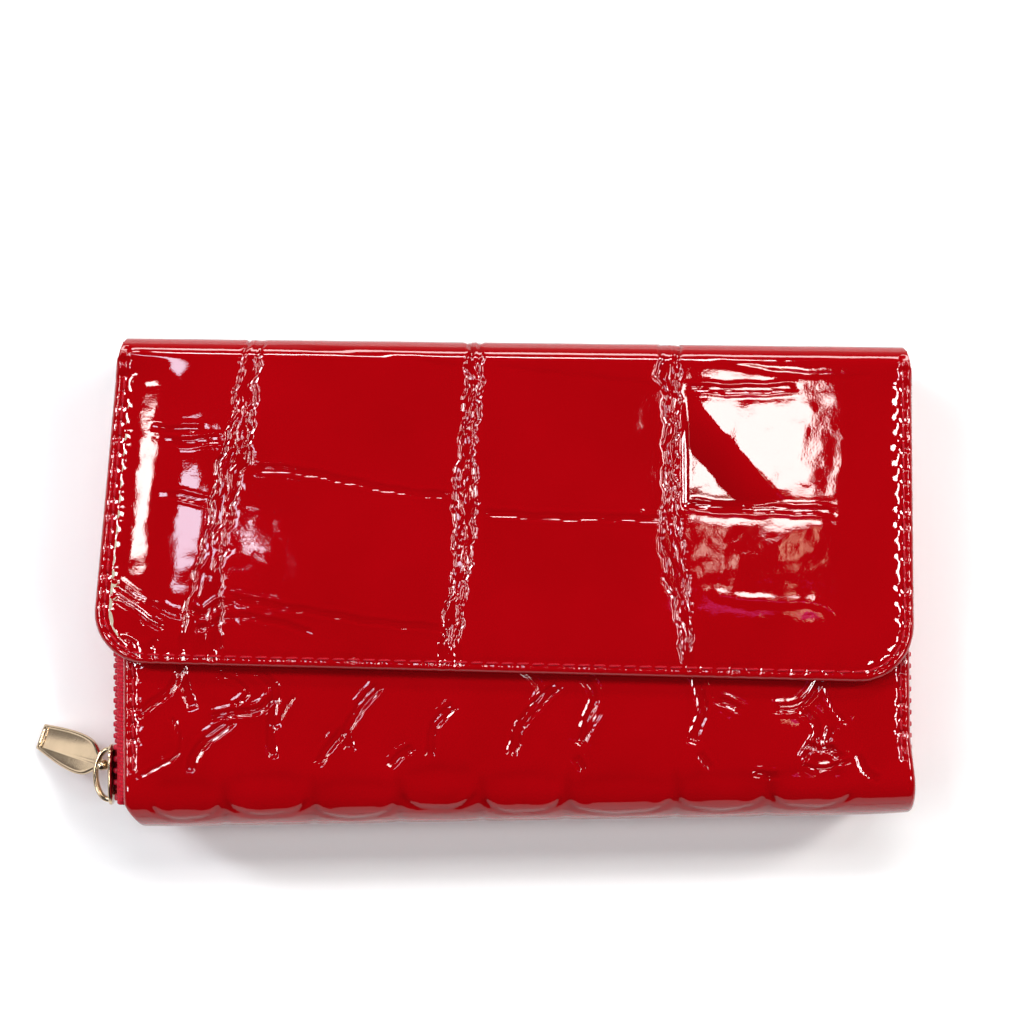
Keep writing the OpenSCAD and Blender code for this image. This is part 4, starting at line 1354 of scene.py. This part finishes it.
def corner_cut(d, r):
    """How far in a rounded corner of radius r brings a side, d along it from its end."""
    return r - np.sqrt(np.clip(r ** 2 - (r - np.clip(d, 0, r)) ** 2, 0, None))


def lining_sheet(name, node, material, seed, hem=0.0, corner=2.0, wave=0.04, step=2.4):
    """A sheet that stands for one flat CAD node, with rounded corners."""
    low, high = cad(node)
    v = edged(low[1], high[1], step)
    cut = corner_cut(np.minimum(v - v[0], v[-1] - v), corner)
    obj = sheet_solid(name, low[0] + cut, high[0] - cut, v, low[2], high[2], material,
                      wave, seed, hem, step)
    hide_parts(node)
    return obj


def slip_stitches(name, nodes, up):
    """A row of stitches along the top hem of each card slip."""
    parts = []
    for node in nodes:
        low, high = cad(node)
        z = high[2] if up > 0 else low[2]
        x = np.arange(low[0] + 2, high[0] - 1, 2.8)
        line = np.stack([x, np.full(x.shape, high[1] - 1.8), np.full(x.shape, z - 0.02 * up)], 1)
        parts.append(stitch_rings(line, np.tile((0.0, 0.0, float(up)), (len(x), 1)), 0.2))
    return mesh_piece(name, *joined(parts), RED_THREAD, solid=True)


def build_gusset(side):
    """A soft gusset folded inwards, which spans from the back lining to the front one."""
    name = "gusset_left" if side < 0 else "gusset_right"
    low, high = cad(name)
    z0, z1 = low[2], high[2]
    outer, inner = max(abs(low[0]), abs(high[0])) - 0.25, min(abs(low[0]), abs(high[0])) + 0.25
    z = np.linspace(z0, z1, 33)
    t = (z - z0) / (z1 - z0)
    fold = inner + (outer - inner) * np.abs(2 * t - 1) ** 1.2
    y = edged(low[1], high[1], 2.0)
    centre = np.stack([side * fold, z], 1)
    section = two_sided(centre, 0.22)
    ripple = 0.12 * np.sin(y * 0.45)[:, None] * there_and_back(np.sin(math.pi * t))
    x = section[None, :, 0] + ripple
    points = np.stack([x, np.repeat(y[:, None], len(section), 1), np.tile(section[:, 1], (len(y), 1))], 2)
    obj = mesh_piece(name + "_cloth", points.reshape(-1, 3), tube_faces(len(y), len(section)), LINING,
                     flat=flat_places(y, there_and_back(z)), solid=True)
    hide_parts(name)
    return obj


def build_flap_lining():
    """The flap's lining, which follows the flap's outline and the fall of its edges."""
    margin = 0.8
    v = edged(FLAP_FREE + margin, Y_TOP - 0.9, 2.0)
    low, high = cad("flap_lining")
    half = flap_half(v) - margin - corner_cut(v - v[0], FLAP_R - margin)

    def place(points):
        x, y = skewed(points[:, 0], points[:, 1])
        z = points[:, 2] + 0.3 * flap_crown(points[:, 0], points[:, 1])
        return taper(np.stack([x, y, z], 1))

    obj = sheet_solid("flap_lining_cloth", -half, half, v, low[2], high[2], LINING, 0.03, 31, place=place)
    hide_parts("flap_lining")
    return obj


def build_flap_spine_lining():
    """The lining of the flap's spine, a flat sheet stood on its edge."""
    low, high = cad("flap_spine_lining")
    v = edged(low[2], high[2], 2.0)

    def place(points):
        return taper(np.stack([points[:, 0], high[1] + low[1] - points[:, 2], points[:, 1]], 1))

    half = np.full(v.shape, high[0])
    obj = sheet_solid("flap_spine_lining_cloth", -half, half, v, low[1], high[1], LINING, 0.03, 32,
                      step=3.0, place=place)
    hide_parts("flap_spine_lining")
    return obj


def build_bend_lining(name, line):
    """A strip of lining that turns a corner of the flap's spine. line is its (y, z) places."""
    centre = curve_through(line, 6)
    section = two_sided(centre, 0.2)
    run = run_along(centre)
    half = FLAP_HALF - 1.2
    x = edged(-half, half, 4.0)
    rows, columns = len(x), len(section)
    points = np.stack([np.repeat(x, columns), np.tile(section[:, 0], rows), np.tile(section[:, 1], rows)], 1)
    obj = mesh_piece(name, taper(points), tube_faces(rows, columns), LINING,
                     flat=flat_places(x, there_and_back(run)), solid=True)
    return obj


def build_coin_binding():
    """The folded strip that closes the coin pocket at both sides and along its bottom."""
    low, high = cad("coin_binding")
    half, r = high[0] - 0.4, 2.5
    bottom, top = low[1] + 0.4, high[1]
    line = [(-half, y) for y in np.arange(top, bottom + r, -2.0)]
    a = np.linspace(0, math.pi / 2, 8)
    line += [(-half + r - r * math.cos(t), bottom + r - r * math.sin(t)) for t in a]
    line += [(x, bottom) for x in np.arange(-half + r + 2, half - r - 1, 2.0)]
    line += [(half - r + r * math.sin(t), bottom + r - r * math.cos(t)) for t in a]
    line += [(half, y) for y in np.arange(bottom + r + 2, top + 0.1, 2.0)]
    line = np.array(line)
    z = np.linspace(low[2], high[2], 15)
    t = (z - low[2]) / (high[2] - low[2])
    bend = 0.9 * np.sin(math.pi * t) ** 1.5
    section = np.vstack([np.stack([bend - 0.28, z], 1), np.stack([bend + 0.28, z], 1)[::-1]])
    points, faces = swept_level(section, line, 0)
    obj = mesh_piece("coin_binding_strip", points, faces, SLIP,
                     flat=flat_places(run_along(line), section[:, 1]), solid=True)
    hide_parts("coin_binding")
    return obj


COIN_PITCH = 1.6


def build_coin_zip(row, sign):
    """The tape and the row of fine teeth at one side of the coin pocket's mouth."""
    tape_node, teeth_node = f"coin_tape_{row}", f"coin_teeth_{row}"
    low, high = cad(tape_node)
    length = edged(low[0], high[0], 1.5)
    section = oval((high[1] - low[1]) / 2, (high[2] - low[2]) / 2 + 0.02, 5.0, 20)
    centres = np.stack([length, np.full(length.shape, (low[1] + high[1]) / 2) + 0.05 * np.sin(length * 0.7),
                        np.full(length.shape, (low[2] + high[2]) / 2)], 1)
    across, up = np.tile((0.0, 1.0, 0.0), (len(length), 1)), np.tile(UP, (len(length), 1))
    points, faces = swept(section, centres, across, up)
    flat = np.stack([points[:, 0], points[:, 2], np.zeros(len(points))], 1)
    tape = mesh_piece(tape_node + "_cloth", points, faces, ZIP_TAPE, flat=flat, solid=True)
    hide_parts(tape_node)
    low, high = cad(teeth_node)
    x = np.arange(low[0] + 0.45, high[0] - 0.3, COIN_PITCH)
    tooth, tooth_faces = stacked(oval(0.42, 0.55, 3.0, 14), bevelled(1.1, 0.18))
    parts = []
    for place in x:
        z = (high[2] if sign > 0 else low[2]) - sign * (tooth[:, 1] + 0.5)
        parts.append((np.stack([place + tooth[:, 0], low[1] + 0.05 + tooth[:, 2], z], 1), tooth_faces))
    teeth = mesh_piece(teeth_node + "_row", *joined(parts), ZIP_TEETH, solid=True)
    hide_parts(teeth_node)
    return tape, teeth


def build_coin_slider():
    """The coin zip's slider: two plates and a post, with a small arch on the outer one."""
    low, high = cad("coin_slider_body")
    mid_x, mid_z = (low[0] + high[0]) / 2, (low[2] + high[2]) / 2
    half_l, half_w = (high[0] - low[0]) / 2, (high[2] - low[2]) / 2
    parts = []
    for side, y in ((1, high[1] - PLATE_T), (-1, low[1] + PLATE_T)):
        plate, faces = stacked(oval(half_l, half_w, 3.2, 48, 0.14), bevelled(PLATE_T, 0.22))
        parts.append((np.stack([mid_x + plate[:, 0], y + side * plate[:, 2], mid_z + plate[:, 1]], 1), faces))
    post, faces = stacked(oval(1.0, 0.15, 2.2, 16), ((0, 0), (0, high[1] - low[1] - PLATE_T)))
    post = np.stack([high[0] - 1.5 + post[:, 0], low[1] + PLATE_T / 2 + post[:, 2], mid_z + post[:, 1]], 1)
    parts.append((post, faces))
    body = mesh_piece("coin_slider_plates", *joined(parts), GOLD, solid=True)
    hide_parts("coin_slider_body")
    low, high = cad("coin_slider_bridge")
    t = 0.6
    left, right, top = low[0] + t / 2, high[0] - t / 2, high[1] - t / 2
    line = curve_through(((left, low[1] - 0.1), (left, high[1] - 1.0), (low[0] + 0.9, top),
                          (mid_x, top + 0.02), (high[0] - 0.9, top), (right, high[1] - 1.0),
                          (right, low[1] - 0.1)), 7)
    points, faces = swept_level(oval(t / 2, (high[2] - low[2]) / 2, 3.0, 20), line, mid_z)
    bridge = mesh_piece("coin_slider_arch", points, faces, GOLD, solid=True)
    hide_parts("coin_slider_bridge")
    return body, bridge


def build_coin_tab():
    """The coin zip's tab: a rod under the arch, two arms and a tongue with rounded ends."""
    low, high = cad("coin_pull_tab")
    pivot = JOINT_AT["coin_pull_swing"]
    half_w = (high[2] - low[2]) / 2
    t, length = 0.8, high[0] - pivot[0]
    rod, faces = stacked(oval(0.43, 0.43, 2, 20), bevelled(2 * half_w - 0.1, 0.12))
    parts = [(rod + (pivot[0], pivot[1], pivot[2] - half_w + 0.05), faces)]
    pieces = [((4.65 - 0.2) / 2, 0.42, 2.05, half_w - 0.45), ((4.65 - 0.2) / 2, 0.42, 2.05, -half_w + 0.45),
              ((length - 4.0) / 2, half_w, (length + 4.0) / 2, 0)]
    for half_l, half, x, z in pieces:
        plate, faces = stacked(oval(half_l, half, 4.0, 32), bevelled(t, 0.2))
        parts.append((np.stack([pivot[0] + x + plate[:, 0], pivot[1] - t / 2 + plate[:, 2],
                                pivot[2] + z + plate[:, 1]], 1), faces))
    obj = mesh_piece("coin_tab", *joined(parts), GOLD, solid=True)
    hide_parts("coin_pull_tab")
    return obj


STUD = ((3.2, 0.45), (2.2, 0.5), (1.75, 0.65), (1.6, 0.85), (1.8, 1.05), (1.6, 1.22), (0.9, 1.3), (0.01, 1.3))


def build_snap():
    """The snap's stud on the front panel and its socket under the flap, turned from sheet metal."""
    low, high = cad("snap_stud")
    r, z = (high[0] - low[0]) / 2, low[2]
    disc = ((0.01, 0), (r - 0.2, 0), (r, 0.15), (r - 0.05, 0.35), (r - 0.5, 0.55), (r - 1.2, 0.6))
    stud = snap_half("snap_stud", [(radius, z + height) for radius, height in disc + STUD])
    low, high = cad("snap_socket")
    r, a, b = (high[0] - low[0]) / 2, low[2], high[2]
    socket = snap_half("snap_socket", ((2.7, b), (r - 0.3, b), (r, b - 0.2), (r - 0.1, a + 0.25),
                                       (r - 0.6, a + 0.04), (r - 1.2, a), (4.2, a + 0.15), (3.5, a + 0.05),
                                       (3.0, a), (2.7, a + 0.12), (2.65, a + 0.3), (2.7, b)))
    return stud, socket


def snap_half(node, profile):
    """One half of the snap, turned about the middle of its CAD node."""
    low, high = cad(node)
    points, faces = lathed(profile)
    obj = mesh_piece(node + "_turned", points + ((low[0] + high[0]) / 2, (low[1] + high[1]) / 2, 0), faces,
                     STEEL, solid=True)
    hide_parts(node)
    return obj


# ---------------------------------------------------------------- build and ride

flap_leather, flap_spine_leather = build_flap_leather()
body_leather = build_body_leather()
flap_stitches = build_flap_stitches()
panel_stitches = build_panel_stitches()

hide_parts("flap_outer")
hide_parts("flap_spine_outer")
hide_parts("front_panel", "spine_front", "spine_back", "back_panel")


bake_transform(flap_leather)
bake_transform(flap_spine_leather)
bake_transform(body_leather)
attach(flap_stitches, "flap")
for piece in panel_stitches:
    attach(piece, "front_cover")

# the tapes' sections: outwards from the zip's path, and height
front_line = ((-2.7, FRONT_IN - 0.25), (-1.2, FRONT_IN - 0.5), (0.5, 25.2), (1.45, 21.4), (1.5, 19.4),
              (1.5, 17.9))
back_line = ((-2.7, LEATHER_T + 0.25), (-1.2, LEATHER_T + 0.6), (0.5, 5.0), (1.45, 10.2), (1.5, 13.4),
             (1.5, 15.1))
ON_BACK = [build_zip_tape("zip_tape_back_cloth", back_line, -1),
           build_zip_teeth("zip_teeth_back_row", BACK_TEETH_LOW[2], 1, 0),
           build_zip_stops("zip_stops_back_pair", BACK_TEETH_LOW[2]),
           lining_sheet("back_lining_cloth", "back_lining", LINING, 11)]
ON_FRONT = [build_zip_tape("zip_tape_front_cloth", front_line, 1),
            build_zip_teeth("zip_teeth_front_row", TEETH_HIGH[2], -1, 0.5),
            build_zip_stops("zip_stops_front_pair", TEETH_LOW[2]),
            lining_sheet("front_lining_cloth", "front_lining", LINING, 12)]
for side, pieces in (("back", ON_BACK), ("front", ON_FRONT)):
    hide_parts(f"zip_tape_{side}")
    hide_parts(f"zip_teeth_{side}")
    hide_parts(f"zip_stops_{side}")
    slips = [f"card_slip_{side}_{i}" for i in (1, 2, 3, 4)]
    for i, node in enumerate(slips):
        pieces.append(lining_sheet(node + "_leather", node, SLIP, 20 + i, 0.08, 3.0, 0.03, 3.5))
    pieces.append(slip_stitches(f"card_slip_{side}_stitches", slips, 1 if side == "back" else -1))

slider_body, slider_bridge, pull_tab = build_slider_body(), build_slider_bridge(), build_pull_tab()
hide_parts("slider_body")
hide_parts("slider_bridge")
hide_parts("pull_tab")
coin_walls = [lining_sheet("coin_rear_cloth", "coin_rear_wall", LINING, 41, 0.06, 1.0),
              lining_sheet("coin_front_cloth", "coin_front_wall", LINING, 42, 0.06, 1.0)]
coin_zip = [*build_coin_zip("rear", -1), *build_coin_zip("front", 1)]
coin_slider = build_coin_slider()
coin_tab = build_coin_tab()
snap_stud, snap_socket = build_snap()
gussets = [build_gusset(-1), build_gusset(1)]

RIDES = (("root", ON_BACK), ("front_cover", ON_FRONT + [snap_stud]),
         ("zip_slider", [slider_body, slider_bridge]), ("zip_pull", [pull_tab]),
         ("coin_pocket", coin_walls + [build_coin_binding()] + coin_zip),
         ("coin_slider", coin_slider), ("coin_pull", [coin_tab]),
         ("flap_spine", [build_flap_spine_lining()]), ("flap", [build_flap_lining(), snap_socket]))
for body, pieces in RIDES:
    for piece in pieces:
        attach(piece, body)
for gusset in gussets:
    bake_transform(gusset)

fold_line = ((WALL_Y, FLAP_UNDER - 3.6), (WALL_Y + 0.05, FLAP_UNDER - 1.4), (WALL_Y - 0.45, FLAP_UNDER - 0.2),
             (WALL_Y - 1.6, FLAP_UNDER + 0.3), (WALL_Y - 4.2, FLAP_UNDER + 0.3))
foot_line = ((WALL_Y, 3.8), (WALL_Y + 0.05, 2.4), (WALL_Y - 0.5, 1.7), (WALL_Y - 1.6, 1.45),
             (WALL_Y - 4.6, 1.4))
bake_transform(build_bend_lining("flap_fold_lining", fold_line))
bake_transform(build_bend_lining("flap_foot_lining", foot_line))

SLOT_OF = {p["node"]: p["material_slot"] for p in frame["record"]["subparts"]}
for name, obj in frame["nodes"].items():
    obj.data.materials.clear()
    obj.data.materials.append(MATERIAL_OF[SLOT_OF[name]])


# ---------------------------------------------------------------- floor, light and camera

def area_light(name, place, aim, size, power, colour=(1, 1, 1)):
    """A soft rectangular lamp, place in millimetres. size is its length along X and then its other side's."""
    data = bpy.data.lights.new(name, "AREA")
    data.shape = "RECTANGLE"
    data.size, data.size_y = (v * MM for v in size)
    data.energy = power
    data.color = colour
    obj = bpy.data.objects.new(name, data)
    obj.location = tuple(v * MM for v in place)
    back = (Vector(place) - Vector(aim)).normalized()
    across = Vector((0, 1, 0)).cross(back).normalized()
    obj.rotation_euler = Matrix((across, back.cross(across), back)).transposed().to_euler()
    bpy.context.scene.collection.objects.link(obj)
    return obj


def build_floor():
    """A plain pale floor just under the wallet."""
    s = Shader("pale_floor", Base_Color=(0.93, 0.93, 0.93), Roughness=0.7)
    half, z = 3000, -0.05
    floor = mesh_piece("floor", [(-half, -half, z), (half, -half, z), (half, half, z), (-half, half, z)],
                       [(0, 1, 2, 3)], s.material, smooth=False)


def build_world():
    """Bright walls round a dark ceiling, so that level patent leather stays deep red."""
    world = bpy.data.worlds.new("studio")
    bpy.context.scene.world = world
    world.use_nodes = True
    tree = world.node_tree
    background = tree.nodes["Background"]
    where = tree.nodes.new("ShaderNodeTexCoord")
    split = tree.nodes.new("ShaderNodeSeparateXYZ")
    ramp = tree.nodes.new("ShaderNodeValToRGB")
    tree.links.new(where.outputs["Generated"], split.inputs[0])
    tree.links.new(split.outputs["Z"], ramp.inputs["Fac"])
    tree.links.new(ramp.outputs["Color"], background.inputs["Color"])
    ramp.color_ramp.elements[0].position = 0.05
    ramp.color_ramp.elements[0].color = (0.3, 0.3, 0.32, 1)
    ramp.color_ramp.elements[1].position = 0.5
    ramp.color_ramp.elements[1].color = (0.02, 0.02, 0.025, 1)
    background.inputs["Strength"].default_value = 1.0


def build_camera():
    """The camera, at the photograph's viewing angle."""
    data = bpy.data.cameras.new("camera")
    data.lens = LENS
    data.sensor_width = SENSOR
    obj = bpy.data.objects.new("camera", data)
    obj.location = tuple(v * MM for v in CAMERA_AT)
    obj.rotation_mode = "XYZ"
    rx, ry, rz = CAMERA_TURN
    matrix = Matrix.Rotation(rx, 3, "X") @ Matrix.Rotation(ry, 3, "Y") @ Matrix.Rotation(rz, 3, "Z")
    obj.rotation_euler = matrix.to_euler("XYZ")
    bpy.context.scene.collection.objects.link(obj)
    bpy.context.scene.camera = obj


build_floor()
build_world()
build_camera()
WHITE = (1, 1, 1)
TAN = (1.0, 0.75, 0.5)
LAMP_Z = 1250                               # height of the lamps that the leather mirrors to the camera
# soft lamps: name, place, aim, size, power, colour
for lamp in (
        ("left_softbox", (-1080, 560, 950), (0, 10, 0), (380, 240), 10, (0.92, 0.95, 1.0)),
        ("right_softbox", (1120, 460, 900), (0, 10, 0), (380, 240), 10, (1.0, 0.97, 0.93)),
        ("back_softbox", (60, 1250, 950), (0, 0, 0), (900, 260), 7, WHITE),
        ("front_fill", (0, -1700, 420), (0, -300, 0), (2600, 800), 4, WHITE)):
    area_light(*lamp)
# lamps mirrored as patches on the flap's level leather: name, x, y, size, power, colour
for name, x, y, size, power, colour in (
        ("left_lamp", -470, 88, (62, 98), 0.34, (1.0, 0.97, 0.93)),
        ("left_blue_lamp", -234, 59, (114, 68), 0.30, (0.7, 0.82, 1.0)),
        ("small_blue_lamp", -140, 41, (6, 14), 0.009, (0.8, 0.88, 1.0)),
        ("right_lamp", 189, 99, (84, 80), 0.36, (1.0, 0.95, 0.91)),
        ("tan_lamp_a", 158, 34, (8, 22), 0.0055, (1.0, 0.85, 0.7)),
        ("tan_lamp_b", 216, 31, (6, 24), 0.0042, TAN),
        ("tan_lamp_c", 222, -29, (12, 9), 0.003, TAN)):
    area_light(name, (x, y, LAMP_Z), (0, 10, 0), size, power, colour)
area_light("magenta_lamp", (193, -16, LAMP_Z), (0, 0, 0), (90, 7), 0.006, (1.0, 0.12, 0.7))
# lamps further out, mirrored only by the sides of creases: name, x, y, size, power
for name, x, y, size, power in (
        ("right_crease_lamp", 690, 60, (120, 300), 2.8),
        ("left_crease_lamp", -720, 60, (120, 300), 2.8),
        ("back_crease_lamp", 0, 690, (460, 110), 3.2),
        ("back_right_crease_lamp", 500, 480, (150, 150), 1.7),
        ("back_left_crease_lamp", -520, 480, (150, 150), 1.7),
        ("front_right_crease_lamp", 620, -300, (150, 130), 1.6),
        ("front_left_crease_lamp", -640, -300, (150, 130), 1.6)):
    area_light(name, (x, y, LAMP_Z), (0, 0, 0), size, power)

bpy.context.scene.view_settings.view_transform = "Standard"
bpy.context.scene.view_settings.look = "None"
